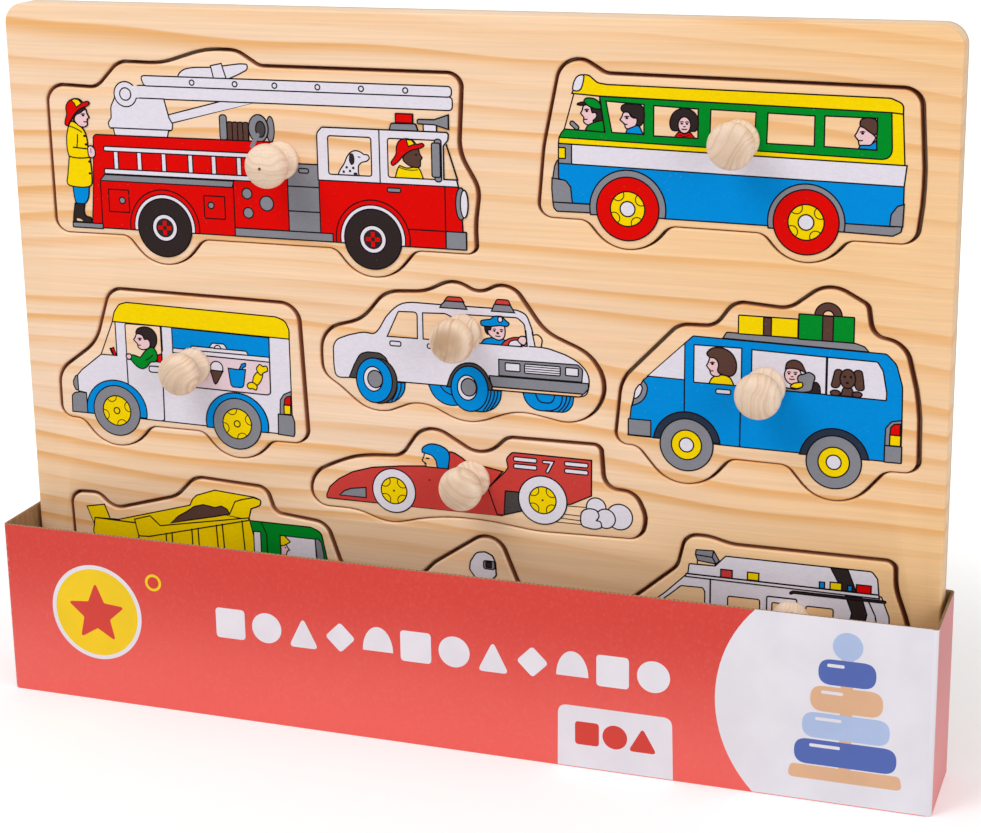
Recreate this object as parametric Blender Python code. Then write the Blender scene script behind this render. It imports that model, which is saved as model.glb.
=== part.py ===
"""Wooden vehicle puzzle: a board with nine lift-out vehicles, standing in its carton sleeve.

Lengths are in millimetres and become metres where an object is made. X runs along the board,
Y from the front to the back and Z up. The origin is on the ground under the middle of the sleeve.
"""

import math

import bmesh
import bpy
from mathutils import Vector
from mathutils.geometry import tessellate_polygon

MM = 0.001

# Board, and the plain margins around the field of cut-outs
BOARD_WIDTH = 300.0
BOARD_HEIGHT = 225.0
FRAME_THICKNESS = 7.0
BACKING_THICKNESS = 3.0
BOARD_CORNER_RADIUS = 6.5
MARGIN_LEFT = 10.9
MARGIN_RIGHT = 8.2
MARGIN_TOP = 12.0
MARGIN_BOTTOM = 10.0
GLUE_LINE = 0.3

# Fit of the loose pieces in their cut-outs
SAW_GAP = 0.6
PIECE_SAG = 0.3
SEAT_GAP = 0.3

# Humps of the drawn outlines around the wheels
HUMP_SLOPE = math.radians(50)
HUMP_BLEND = 5.0
HUMP_RADIUS = 12.5

# Turned knobs
KNOB_HEIGHT = 15.8
KNOB_BASE_RADIUS = 6.0
KNOB_BASE_HEIGHT = 1.8
KNOB_BASE_EDGE = 0.5
KNOB_WAIST_RADIUS = 4.1
KNOB_WAIST_HEIGHT = 3.8
KNOB_HEAD_RADIUS = 6.9
KNOB_HEAD_CENTRE = 10.6
KNOB_HEAD_START = math.radians(-58)
KNOB_SEGMENTS = 20
KNOB_HEAD_STEPS = 7

# Countersunk screws that hold the knobs from behind
SCREW_SHANK_RADIUS = 1.3
SCREW_HEAD_RADIUS = 2.9
SCREW_HEAD_DEPTH = 1.8
SCREW_HEAD_RECESS = 0.3
SCREW_BITE = 8.0
SCREW_POINT = 1.6
SCREW_CLEARANCE = 0.3
SCREW_SEGMENTS = 10

# Carton sleeve
CARD_THICKNESS = 1.5
SLEEVE_HEIGHT = 58.5
SLEEVE_FOLD_RADIUS = 1.4
SLEEVE_INNER_FOLD_RADIUS = 0.35
SLEEVE_SIDE_ROOM = 0.8
SLEEVE_BACK_ROOM = 1.0
SLEEVE_KNOB_ROOM = 2.4
BOARD_SEAT_GAP = 0.3

# How finely round stretches are drawn
ARC_STEP = math.radians(15)
SHORTEST_EDGE = 0.05
SMOOTH_ANGLE = math.radians(35)


def wheel_hump(x, y, floor_right, floor_left, radius=HUMP_RADIUS):
    """Three corners that lead an outline round a wheel centred at x, y, from right to left."""
    apex = y + radius / math.cos(HUMP_SLOPE)
    reach_right = (apex - floor_right) / math.tan(HUMP_SLOPE)
    reach_left = (apex - floor_left) / math.tan(HUMP_SLOPE)
    return [
        (x + reach_right, floor_right, HUMP_BLEND),
        (x, apex, radius),
        (x - reach_left, floor_left, HUMP_BLEND),
    ]


# Outlines of the cut-outs, clockwise as seen from the front, drawn in millimetres on a sheet of
# their own: each corner is (x to the right, y downwards, fillet radius). The sheet is then laid
# on the board so that the outlines reach from margin to margin.
FIRE_ENGINE = [
    (13.3, 24.9, 6.0), (31.3, 25.5, 6.0), (39.5, 17.0, 7.0), (54.5, 17.2, 25.0), (70.0, 12.3, 30.0),
    (80.5, 12.4, 9.0), (88.0, 17.0, 6.0), (153.9, 17.2, 4.5), (152.5, 41.0, 14.0),
    (158.9, 52.0, 10.0), (157.4, 63.0, 25.0), (157.8, 72.5, 3.0),
    *wheel_hump(124.4, 69.1, 72.5, 73.2), *wheel_hump(52.8, 69.5, 73.2, 73.2), (13.6, 73.4, 5.0),
]
BUS = [
    (179.2, 38.0, 40.0), (184.6, 11.9, 7.0), (192.0, 12.0, 6.0), (198.3, 15.8, 6.0),
    (288.9, 17.2, 5.5), (290.7, 45.0, 60.0), (288.8, 61.9, 5.0),
    *wheel_hump(257.8, 56.3, 61.7, 60.9), *wheel_hump(205.2, 55.6, 60.5, 59.9),
    (177.2, 59.7, 4.5),
]
ICE_CREAM_VAN = [
    (10.9, 119.8, 9.0), (25.4, 109.2, 16.0), (31.4, 90.6, 6.0), (97.9, 91.4, 6.5),
    (98.8, 112.0, 60.0), (99.9, 137.8, 5.0),
    *wheel_hump(75.4, 132.2, 137.9, 136.8), *wheel_hump(31.6, 131.9, 136.8, 136.1),
    (10.9, 136.0, 4.5),
]
POLICE_CAR = [
    (105.4, 98.6, 9.0), (119.5, 95.0, 14.0), (127.5, 85.3, 10.0), (140.8, 84.5, 14.0),
    (150.3, 79.8, 9.0), (158.4, 84.4, 8.0), (167.6, 78.6, 8.0), (179.0, 94.6, 16.0),
    (194.0, 100.6, 14.0), (198.8, 110.6, 12.0), (192.6, 124.4, 12.0), (170.2, 120.4, 20.0),
    (153.8, 126.9, 16.0), (137.6, 119.2, 14.0), (123.6, 127.2, 13.0), (111.6, 117.4, 16.0),
    (105.6, 113.6, 7.0),
]
CAMPER_VAN = [
    (200.9, 128.3, 4.0), (203.0, 107.6, 12.0), (220.6, 89.2, 7.0), (231.6, 88.9, 6.0),
    (237.2, 81.1, 6.0), (253.3, 82.2, 8.0), (264.6, 73.4, 9.0), (276.0, 79.6, 3.0),
    (277.4, 88.7, 5.0), (286.9, 89.8, 8.0), (291.5, 108.0, 40.0), (291.9, 129.2, 4.0),
    *wheel_hump(267.7, 127.3, 129.4, 130.1), *wheel_hump(223.0, 126.4, 129.9, 128.2),
]
RACING_CAR = [
    (99.2, 158.0, 6.0), (101.2, 146.2, 9.0), (116.0, 139.3, 34.0), (131.7, 138.2, 6.0),
    (138.2, 128.5, 8.0), (144.6, 128.5, 9.0), (159.0, 136.6, 9.0), (166.8, 128.9, 5.0),
    (196.6, 128.7, 2.5), (197.6, 142.3, 5.0), (207.4, 142.7, 6.0), (210.9, 150.5, 9.0),
    (209.4, 158.3, 5.0), (176.0, 159.1, 40.0), (157.0, 156.9, 60.0), (141.0, 158.0, 40.0),
    (127.0, 161.8, 16.0), (116.5, 157.9, 24.0),
]
TIPPER_TRUCK = [
    (13.4, 207.4, 4.5), (12.2, 161.6, 4.5), (22.6, 161.2, 5.0), (28.3, 166.3, 7.0),
    (51.8, 159.6, 10.0), (58.8, 152.2, 7.0), (84.2, 153.3, 4.5), (87.0, 161.6, 4.0),
    (105.0, 163.3, 6.0), (109.4, 176.0, 12.0), (117.0, 187.5, 8.0), (117.4, 207.0, 4.5),
    *wheel_hump(96.5, 200.5, 206.6, 206.6), *wheel_hump(38.5, 200.5, 206.6, 207.2),
]
MOTORCYCLE = [
    (127.6, 187.4, 11.0), (142.0, 172.6, 9.0), (162.3, 158.7, 6.5), (170.4, 178.4, 8.0),
    (184.0, 183.0, 12.0), (193.4, 193.6, 10.0), (191.8, 215.0, 11.0), (166.6, 215.0, 11.0),
    (160.6, 207.4, 6.0), (153.0, 207.4, 6.0), (147.0, 215.0, 11.0), (123.0, 215.0, 11.0),
]
MOTORHOME = [
    (203.2, 180.2, 9.0), (220.8, 165.0, 6.0), (223.2, 154.5, 5.0), (230.5, 154.4, 14.0),
    (237.5, 156.2, 14.0), (286.3, 156.2, 3.0), (286.6, 165.0, 16.0), (291.3, 178.0, 30.0),
    (291.6, 206.8, 4.5),
    *wheel_hump(270.0, 200.5, 206.6, 206.6), *wheel_hump(226.5, 200.5, 206.6, 206.6),
    (203.4, 206.8, 4.5),
]

# Name, cut-out outline, knob centre on the drawing, colour of the print
VEHICLES = [
    ("fire_engine", FIRE_ENGINE, (94.4, 45.9), (0.72, 0.03, 0.03)),
    ("bus", BUS, (238.0, 33.6), (0.04, 0.24, 0.60)),
    ("ice_cream_van", ICE_CREAM_VAN, (60.8, 114.3), (0.82, 0.80, 0.84)),
    ("police_car", POLICE_CAR, (153.2, 96.6), (0.78, 0.76, 0.82)),
    ("camper_van", CAMPER_VAN, (247.0, 106.1), (0.02, 0.23, 0.60)),
    ("racing_car", RACING_CAR, (155.2, 143.4), (0.60, 0.05, 0.04)),
    ("tipper_truck", TIPPER_TRUCK, (62.0, 184.0), (0.80, 0.62, 0.02)),
    ("motorcycle", MOTORCYCLE, (157.0, 188.0), (0.02, 0.26, 0.05)),
    ("motorhome", MOTORHOME, (256.0, 178.0), (0.74, 0.72, 0.80)),
]


def rounded(corners):
    """Points of a closed outline whose corners are (x, y, fillet radius)."""
    here = [Vector(corner[:2]) for corner in corners]
    count = len(corners)
    halves = []
    wanted = []
    for index, corner in enumerate(corners):
        back = here[index - 1] - here[index]
        onward = here[(index + 1) % count] - here[index]
        halves.append(back.angle(onward) / 2)
        wanted.append(corner[2] / math.tan(halves[-1]))
    share = [1.0] * count
    for index in range(count):
        nxt = (index + 1) % count
        length = (here[nxt] - here[index]).length
        fit = min(1.0, length / (wanted[index] + wanted[nxt]))
        share[index] = min(share[index], fit)
        share[nxt] = min(share[nxt], fit)
    points = []
    for index in range(count):
        reach = wanted[index] * share[index]
        back = (here[index - 1] - here[index]).normalized()
        onward = (here[(index + 1) % count] - here[index]).normalized()
        centre = here[index] + (back + onward).normalized() * (reach / math.cos(halves[index]))
        spoke = here[index] + back * reach - centre
        turn = math.pi - 2 * halves[index]
        if back.cross(onward) > 0:
            turn = -turn
        steps = max(1, math.ceil(abs(turn) / ARC_STEP))
        for step in range(steps + 1):
            angle = turn * step / steps
            points.append(centre + Vector((
                spoke.x * math.cos(angle) - spoke.y * math.sin(angle),
                spoke.x * math.sin(angle) + spoke.y * math.cos(angle),
            )))
    return [
        point for index, point in enumerate(points)
        if (point - points[index - 1]).length > SHORTEST_EDGE
    ]


def inset(points, distance):
    """An outline on X and Z, clockwise as seen from the front, drawn in by a distance."""
    result = []
    for index, point in enumerate(points):
        along = (point - points[index - 1]).normalized()
        onward = (points[(index + 1) % len(points)] - point).normalized()
        middle = (along + onward).normalized()
        inward = Vector((middle.y, -middle.x))
        result.append(point + inward * (distance / middle.dot(along)))
    return result


BOARD_THICKNESS = FRAME_THICKNESS + GLUE_LINE + BACKING_THICKNESS

SLEEVE_INNER_WIDTH = BOARD_WIDTH + 2 * SLEEVE_SIDE_ROOM
SLEEVE_INNER_DEPTH = SLEEVE_KNOB_ROOM + KNOB_HEIGHT + BOARD_THICKNESS + SLEEVE_BACK_ROOM
SLEEVE_DEPTH = SLEEVE_INNER_DEPTH + 2 * CARD_THICKNESS
SLEEVE_WIDTH = SLEEVE_INNER_WIDTH + 2 * CARD_THICKNESS

FACE_Y = -SLEEVE_INNER_DEPTH / 2 + SLEEVE_KNOB_ROOM + KNOB_HEIGHT
BACKING_Y = FACE_Y + FRAME_THICKNESS + GLUE_LINE
BOARD_BOTTOM_Z = CARD_THICKNESS + BOARD_SEAT_GAP
BOARD_ORIGIN = Vector((0.0, FACE_Y, BOARD_BOTTOM_Z))

DRAWN = {name: rounded(corners) for name, corners, knob, colour in VEHICLES}
DRAWN_X = [point.x for outline in DRAWN.values() for point in outline]
DRAWN_Y = [point.y for outline in DRAWN.values() for point in outline]
STRETCH_X = (BOARD_WIDTH - MARGIN_LEFT - MARGIN_RIGHT) / (max(DRAWN_X) - min(DRAWN_X))
STRETCH_Z = (BOARD_HEIGHT - MARGIN_TOP - MARGIN_BOTTOM) / (max(DRAWN_Y) - min(DRAWN_Y))


def on_board(point):
    """A drawn point, x to the right and y downwards, laid on the board's X and Z."""
    x = -BOARD_WIDTH / 2 + MARGIN_LEFT + (point[0] - min(DRAWN_X)) * STRETCH_X
    z = BOARD_BOTTOM_Z + MARGIN_BOTTOM + (max(DRAWN_Y) - point[1]) * STRETCH_Z
    return Vector((x, z))


CUT_OUTS = {name: [on_board(point) for point in outline] for name, outline in DRAWN.items()}


def painted(name, colour, roughness, metallic=0.0):
    material = bpy.data.materials.new(name)
    material.use_nodes = True
    shader = material.node_tree.nodes["Principled BSDF"]
    shader.inputs["Base Color"].default_value = (*colour, 1.0)
    shader.inputs["Roughness"].default_value = roughness
    shader.inputs["Metallic"].default_value = metallic
    material.diffuse_color = (*colour, 1.0)
    return material


def make_object(bm, name, material, origin=(0.0, 0.0, 0.0), parent=None, smooth=False):
    """Turn a mesh drawn in world millimetres into an object whose origin is at the given place."""
    origin = Vector(origin)
    bmesh.ops.recalc_face_normals(bm, faces=bm.faces)
    for vertex in bm.verts:
        vertex.co = (vertex.co - origin) * MM
    mesh = bpy.data.meshes.new(name)
    bm.to_mesh(mesh)
    bm.free()
    if smooth:
        mesh.shade_smooth()
        mesh.set_sharp_from_angle(angle=SMOOTH_ANGLE)
    mesh.materials.append(material)
    item = bpy.data.objects.new(name, mesh)
    bpy.context.collection.objects.link(item)
    item.location = origin * MM
    if parent is not None:
        item.parent = parent
        item.location -= parent_place(parent)
    return item


def parent_place(item):
    place = Vector((0.0, 0.0, 0.0))
    while item is not None:
        place += item.location
        item = item.parent
    return place


def bridge(bm, near, far):
    for index in range(len(near)):
        bm.faces.new((near[index - 1], near[index], far[index], far[index - 1]))


def add_wall(bm, rings):
    """Bridge a row of rings, each a list of (x, y, z), and return the first and last one's vertices."""
    loops = [[bm.verts.new(place) for place in ring] for ring in rings]
    for near, far in zip(loops, loops[1:]):
        bridge(bm, near, far)
    return loops[0], loops[-1]


def fill_flat(bm, loops, axes):
    """Fill the area between an outer loop and its holes, drawn on the given two axes."""
    flat = [vertex for loop in loops for vertex in loop]
    drawn = [[Vector((v.co[axes[0]], v.co[axes[1]], 0.0)) for v in loop] for loop in loops]
    for corners in tessellate_polygon(drawn):
        bm.faces.new([flat[corner] for corner in corners])


def plate(walls):
    """A plate parallel to the board: its outer wall first, then the walls of its holes.

    A wall is a list of (outline on X and Z, y), from the front face to the back face."""
    bm = bmesh.new()
    ends = []
    for wall in walls:
        rings = [[(point[0], y, point[1]) for point in outline] for outline, y in wall]
        ends.append(add_wall(bm, rings))
    fill_flat(bm, [front for front, back in ends], (0, 2))
    fill_flat(bm, [back for front, back in ends], (0, 2))
    return bm


def circle(centre, radius, segments):
    turns = [2 * math.pi * step / segments for step in range(segments)]
    return [Vector((centre.x + radius * math.cos(a), centre.y + radius * math.sin(a))) for a in turns]


def turned(centre, profile, segments):
    """A solid turned about an axis along Y; the profile is (radius, y) from one end to the other."""
    bm = bmesh.new()
    rings = []
    for radius, y in profile:
        ring = circle(centre, radius, segments) if radius > 0 else [centre]
        rings.append([bm.verts.new((point.x, y, point.y)) for point in ring])
    for near, far in zip(rings, rings[1:]):
        for index in range(segments):
            corners = [near[index - 1] if len(near) > 1 else near[0]]
            if len(near) > 1:
                corners.append(near[index])
            corners.append(far[index] if len(far) > 1 else far[0])
            if len(far) > 1:
                corners.append(far[index - 1])
            bm.faces.new(corners)
    return bm


def board_outline():
    x = BOARD_WIDTH / 2
    top = BOARD_BOTTOM_Z + BOARD_HEIGHT
    radius = BOARD_CORNER_RADIUS
    return rounded([
        (-x, top, radius), (x, top, radius), (x, BOARD_BOTTOM_Z, radius), (-x, BOARD_BOTTOM_Z, radius),
    ])


def make_frame(parent):
    """The sawn front board with its nine cut-outs."""
    back = FACE_Y + FRAME_THICKNESS
    walls = [[(board_outline(), FACE_Y), (board_outline(), back)]]
    walls += [[(outline, FACE_Y), (outline, back)] for outline in CUT_OUTS.values()]
    wood = painted("pale_pine", (0.78, 0.58, 0.38), 0.45)
    make_object(plate(walls), "board_frame", wood, BOARD_ORIGIN, parent)


def make_backing(parent):
    """The thin plywood glued behind the cut-outs."""
    walls = [[(board_outline(), BACKING_Y), (board_outline(), BACKING_Y + BACKING_THICKNESS)]]
    wood = painted("birch_plywood", (0.66, 0.47, 0.30), 0.6)
    make_object(plate(walls), "board_backing", wood, BOARD_ORIGIN, parent)


def knob_centre(knob):
    centre = on_board(knob)
    centre.y -= PIECE_SAG
    return centre


def make_piece(name, knob, colour, parent):
    """One lift-out vehicle with its countersunk screw hole."""
    lowered = [Vector((x, z - PIECE_SAG)) for x, z in inset(CUT_OUTS[name], SAW_GAP)]
    centre = knob_centre(knob)
    back = FACE_Y + FRAME_THICKNESS
    shank = circle(centre, SCREW_SHANK_RADIUS + SCREW_CLEARANCE, SCREW_SEGMENTS)
    head = circle(centre, SCREW_HEAD_RADIUS + SCREW_CLEARANCE, SCREW_SEGMENTS)
    head_seat = back - SCREW_HEAD_DEPTH - SCREW_HEAD_RECESS
    walls = [
        [(lowered, FACE_Y), (lowered, back)],
        [(shank, FACE_Y), (shank, head_seat), (head, back - SCREW_HEAD_RECESS), (head, back)],
    ]
    material = painted(name + "_print", colour, 0.45)
    return make_object(plate(walls), name, material, (centre.x, FACE_Y, centre.y), parent)


def make_knob(name, knob, piece):
    """A turned knob: base ring, waist and domed head, with the screw's hole in its foot."""
    centre = knob_centre(knob)
    foot = FACE_Y - SEAT_GAP
    hole_radius = SCREW_SHANK_RADIUS + SCREW_CLEARANCE
    hole_end = FACE_Y - SCREW_BITE - SCREW_CLEARANCE
    profile = [
        (0.0, hole_end), (hole_radius, hole_end), (hole_radius, foot), (KNOB_BASE_RADIUS, foot),
        (KNOB_BASE_RADIUS, FACE_Y - KNOB_BASE_HEIGHT + KNOB_BASE_EDGE),
        (KNOB_BASE_RADIUS - KNOB_BASE_EDGE, FACE_Y - KNOB_BASE_HEIGHT),
        (KNOB_WAIST_RADIUS, FACE_Y - KNOB_WAIST_HEIGHT),
    ]
    rise = KNOB_HEIGHT - KNOB_HEAD_CENTRE
    for step in range(KNOB_HEAD_STEPS + 1):
        angle = KNOB_HEAD_START + (math.pi / 2 - KNOB_HEAD_START) * step / KNOB_HEAD_STEPS
        radius = KNOB_HEAD_RADIUS * math.cos(angle) if step < KNOB_HEAD_STEPS else 0.0
        profile.append((radius, FACE_Y - KNOB_HEAD_CENTRE - rise * math.sin(angle)))
    material = painted(name + "_beech", (0.80, 0.62, 0.42), 0.5)
    bm = turned(centre, profile, KNOB_SEGMENTS)
    make_object(bm, name, material, (centre.x, foot, centre.y), piece, smooth=True)


def make_screw(name, knob, piece):
    """The countersunk screw, driven from the back of the piece into the knob."""
    centre = knob_centre(knob)
    head_back = FACE_Y + FRAME_THICKNESS - SCREW_HEAD_RECESS
    tip = FACE_Y - SCREW_BITE
    profile = [
        (0.0, head_back), (SCREW_HEAD_RADIUS, head_back),
        (SCREW_SHANK_RADIUS, head_back - SCREW_HEAD_DEPTH),
        (SCREW_SHANK_RADIUS, tip + SCREW_POINT), (0.0, tip),
    ]
    steel = painted(name + "_steel", (0.62, 0.62, 0.62), 0.3, 1.0)
    bm = turned(centre, profile, SCREW_SEGMENTS)
    make_object(bm, name, steel, (centre.x, head_back, centre.y), piece, smooth=True)


def make_sleeve():
    """The folded carton tray that the board stands in."""
    half_width = SLEEVE_WIDTH / 2
    half_depth = SLEEVE_DEPTH / 2

    def loop(offset, radius, z):
        x = half_width - offset
        y = half_depth - offset
        corners = [(-x, -y, radius), (x, -y, radius), (x, y, radius), (-x, y, radius)]
        return [(point.x, point.y, z) for point in rounded(corners)]

    bm = bmesh.new()
    first, last = add_wall(bm, [
        loop(0.0, SLEEVE_FOLD_RADIUS, 0.0), loop(0.0, SLEEVE_FOLD_RADIUS, SLEEVE_HEIGHT),
        loop(CARD_THICKNESS, SLEEVE_INNER_FOLD_RADIUS, SLEEVE_HEIGHT),
        loop(CARD_THICKNESS, SLEEVE_INNER_FOLD_RADIUS, CARD_THICKNESS),
    ])
    fill_flat(bm, [first], (0, 1))
    fill_flat(bm, [last], (0, 1))
    make_object(bm, "carton_sleeve", painted("red_card", (0.66, 0.07, 0.05), 0.6))


def main():
    for item in list(bpy.data.objects):
        bpy.data.objects.remove(item, do_unlink=True)
    make_sleeve()
    board = bpy.data.objects.new("board", None)
    board.location = BOARD_ORIGIN * MM
    bpy.context.collection.objects.link(board)
    make_frame(board)
    make_backing(board)
    for name, corners, knob, colour in VEHICLES:
        piece = make_piece(name, knob, colour, board)
        make_knob(name + "_knob", knob, piece)
        make_screw(name + "_screw", knob, piece)


main()
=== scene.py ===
"""Looks of a wooden vehicle puzzle: a board, nine lift-out vehicles with printed faces, knobs and a sleeve.

Lengths are in millimetres and become metres through MM. The prints and the sleeve's print are drawn on
a flat sheet, x to the right and y downwards, as one sees them from the front.
"""

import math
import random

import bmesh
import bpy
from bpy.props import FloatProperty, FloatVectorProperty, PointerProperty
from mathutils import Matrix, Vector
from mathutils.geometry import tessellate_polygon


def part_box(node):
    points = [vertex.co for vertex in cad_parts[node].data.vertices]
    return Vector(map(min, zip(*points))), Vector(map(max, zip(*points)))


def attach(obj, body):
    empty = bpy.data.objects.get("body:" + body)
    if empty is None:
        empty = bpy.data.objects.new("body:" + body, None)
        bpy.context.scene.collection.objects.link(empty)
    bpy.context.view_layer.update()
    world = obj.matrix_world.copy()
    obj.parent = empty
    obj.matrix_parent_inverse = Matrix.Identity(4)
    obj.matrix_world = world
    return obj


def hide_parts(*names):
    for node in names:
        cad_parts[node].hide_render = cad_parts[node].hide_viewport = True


bl_info = {
    "name": "Wooden Vehicle Puzzle",
    "version": (1, 0, 0),
    "blender": (4, 5, 0),
    "location": "3D View > Sidebar > Puzzle",
    "description": "Dresses a wooden vehicle puzzle in pine, printed ink, turned beech and folded card",
    "category": "Add Mesh",
}

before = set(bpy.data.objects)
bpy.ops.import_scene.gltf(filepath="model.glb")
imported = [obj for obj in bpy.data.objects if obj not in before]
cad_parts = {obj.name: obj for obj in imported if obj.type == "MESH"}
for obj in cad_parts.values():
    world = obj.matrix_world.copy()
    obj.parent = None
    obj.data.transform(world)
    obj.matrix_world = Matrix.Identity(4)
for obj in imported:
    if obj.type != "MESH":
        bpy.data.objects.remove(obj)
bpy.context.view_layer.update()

MM = 0.001

# Places taken from the frame, in metres
BOARD_LOW, BOARD_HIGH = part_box("board_frame")
BACKING_LOW, BACKING_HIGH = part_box("board_backing")
SLEEVE_LOW, SLEEVE_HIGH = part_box("carton_sleeve")
FACE = BOARD_LOW.y

# The loose pieces rest on the lower edges of their cut-outs, this far below the drawing
PIECE_SAG = 0.3 * MM

VEHICLES = (
    "fire_engine", "bus", "ice_cream_van", "police_car", "camper_van", "racing_car",
    "tipper_truck", "motorcycle", "motorhome",
)

# Corners nearer than WELD are one, and corners within FLAT of the front lie on the front face
WELD = 0.00001
FLAT = 0.00005
# Arcs are drawn in steps of about FINE_TURN, and edges sharper than SMOOTH_ANGLE stay sharp
FINE_TURN = math.radians(5)
SMOOTH_ANGLE = math.radians(38)
# A corner moves out by at most 1 / MITRE of the distance, and a side over UNEVEN times as long as
# the next one sets the heading of their corner
MITRE = 0.5
UNEVEN = 2.5
RIM_STEPS = 4
HOLE_SIDES = 32
KNOB_SIDES = 72
GRAIN_SEED = 7

# Rounding where the two boards are glued, the gap between them, and the rounding of the rear edges
GLUED_RIM = 0.05 * MM
GLUE_GAP = 0.01 * MM
BACKING_RIM = 0.4 * MM
PIECE_RIM = 0.3 * MM

# Rounded corners of the drawings: angle of one step, half the angle that counts as straight on, and
# the share of a side that a corner may take
FILLET_TURN = math.radians(14)
FILLET_STRAIGHT = math.radians(88)
FILLET_SHARE = 0.48

# Radius of the screw holes, and their widening at the back as (widening, distance before the back)
SCREW_HOLE = 1.6 * MM
COUNTERSINK = ((0.0, 2.1 * MM), (1.6 * MM, 0.3 * MM), (1.6 * MM, 0.0))

# Profile of a knob as (radius, height above the board), and its egg-shaped head, in millimetres
KNOB_FOOT = ((5.5, 0.0), (5.9, 0.15), (6.0, 0.5), (6.0, 1.2), (5.85, 1.55), (5.5, 1.78))
KNOB_NECK = ((4.9, 2.3), (4.4, 3.0), (4.1, 3.8), (3.95, 4.6), (3.85, 5.4), (3.87, 6.0))
KNOB_HEAD_RADIUS = 6.9
KNOB_HEAD_MIDDLE = 10.6
KNOB_HEIGHT = 15.8
KNOB_HEAD_START = math.radians(-54)
KNOB_HEAD_END = math.radians(85.6)
KNOB_HEAD_STEPS = 25
KNOB_MARK = 0.53
# How dark the end grain of each knob is, in the order of the vehicles
KNOB_TONES = (0.2, 0.45, 0.5, 0.95, 0.3, 0.6, 0.4, 0.5, 0.35)

# Rounding of the card's cut edge and of the sleeve's bottom edge, in millimetres
SLEEVE_EDGE = 0.18
SLEEVE_HEM = 0.35
# Ridges in the print and the fluting of the cut edge, whose hollows are painted shade, in metres; a wave of
# scale 1 repeats over WAVE_LENGTH
WAVE_LENGTH = 0.31416
CARD_RIPPLE = 0.0017
FLUTE_PITCH = 0.0014
CARD_SHINE = 0.3
INK_SHINE = 0.03

# How strongly the sky lights the object, and the lamps as (name, place, size, power)
SKY_LIGHT = 0.54
LAMPS = (("key", (-0.4, -0.62, 0.95), 0.6, 5.0), ("fill", (1.4, -0.9, 0.7), 1.1, 8.0))
LAMP_AIM = Vector((0.0, 0.0, 0.11))
WHITE = (1.0, 1.0, 1.0, 1.0)
FLOOR_REACH = 4.0
SENSOR_WIDTH = 36.0
NEAREST = 0.05

# Where the photograph was taken from
VIEW_AZIMUTH = math.radians(20.21)
VIEW_ELEVATION = math.radians(15.44)
VIEW_ROLL = math.radians(1.08)
VIEW_TARGET = (1.96, 122.16)
VIEW_SHIFT = (0.031, -0.061)


def srgb(red, green, blue):
    """A colour written as it looks on screen, 0 to 255, as linear values."""
    def linear(value):
        share = value / 255
        return share / 12.92 if share <= 0.04045 else ((share + 0.055) / 1.055) ** 2.4
    return (linear(red), linear(green), linear(blue))


def toned(tint, share):
    """The same colour, darker or lighter."""
    return tuple(min(1.0, channel * share) for channel in tint)


def colour(name, description, red, green, blue):
    return FloatVectorProperty(
        name=name, description=description, subtype="COLOR", size=3, min=0, max=1,
        default=srgb(red, green, blue),
    )


def length(name, description, default):
    return FloatProperty(
        name=name, description=description + ", in millimetres", default=default, min=0, unit="NONE",
    )


class PuzzleWood(bpy.types.PropertyGroup):
    pale: colour("Pale wood", "Early wood of the pine board", 243, 210, 180)
    amber: colour("Amber wood", "Warmer zones of the pine board", 242, 196, 141)
    late: colour("Late wood", "Dark ends of the year rings", 232, 172, 104)
    burnt: colour("Sawn wall", "Scorched walls of the cut-outs", 190, 130, 96)
    ply: colour("Plywood", "Back and edges of the backing board", 230, 202, 166)
    beech: colour("Beech", "Turned knobs", 240, 216, 192)
    beech_ring: colour("Beech ring", "Growth rings on the knobs", 206, 165, 132)
    end_grain: colour("End grain", "Greyer wood on the tips of the knobs", 176, 140, 106)
    rim: length("Rim", "Rounding of the sanded edges", 0.7)
    room_right: length("Room right", "How far the cut-outs are sanded wider to the right", 0.9)
    room_left: length("Room left", "How far they are sanded wider to the left", 0.45)
    room_above: length("Room above", "How far they are sanded higher", 0.2)
    grain_pitch: length("Grain pitch", "Width of a year ring", 7.6)


class PuzzleInks(bpy.types.PropertyGroup):
    red: colour("Red", "Bright red ink", 222, 8, 4)
    crimson: colour("Crimson", "Softer red ink of the racing car", 203, 64, 58)
    yellow: colour("Yellow", "Yellow ink", 246, 212, 0)
    blue: colour("Blue", "Blue ink", 0, 139, 218)
    green: colour("Green", "Green ink", 0, 138, 40)
    grey: colour("Grey", "Grey ink", 134, 134, 142)
    dark: colour("Dark grey", "Ink of the dark machine parts", 74, 68, 68)
    black: colour("Black", "Ink of tyres and hair", 48, 38, 38)
    night: colour("Night blue", "Ink of the camper's wheel arches", 40, 52, 70)
    brown: colour("Brown", "Ink of brown hair, straps and earth", 90, 62, 54)
    white: colour("White", "Cool white ink", 226, 220, 231)
    pink: colour("Pink", "Ink of the sales panel", 228, 204, 212)
    skin: colour("Skin", "Ink of the figures' faces", 236, 196, 200)
    line: colour("Line", "Ink of the drawn lines", 24, 16, 18)
    line_width: length("Line width", "Width of the drawn lines", 0.42)


class PuzzleSleeve(bpy.types.PropertyGroup):
    red: colour("Sleeve red", "Printed red of the carton", 212, 62, 51)
    light_red: colour("Light red", "Lighter red towards the lower edge", 243, 102, 93)
    kraft: colour("Kraft", "Unprinted inside and cut edges", 176, 138, 98)
    white: colour("White", "White print on the carton", 232, 228, 236)
    yellow: colour("Yellow", "Yellow print on the carton", 246, 206, 20)
    tan: colour("Tan", "Tan print on the carton", 226, 178, 140)
    light_blue: colour("Light blue", "Light blue print on the carton", 176, 194, 230)
    blue: colour("Blue", "Blue print on the carton", 82, 104, 178)
    wall: length("Wall", "Thickness of the card", 0.8)
    fold: length("Fold", "Radius of the upright folds", 1.4)


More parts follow.
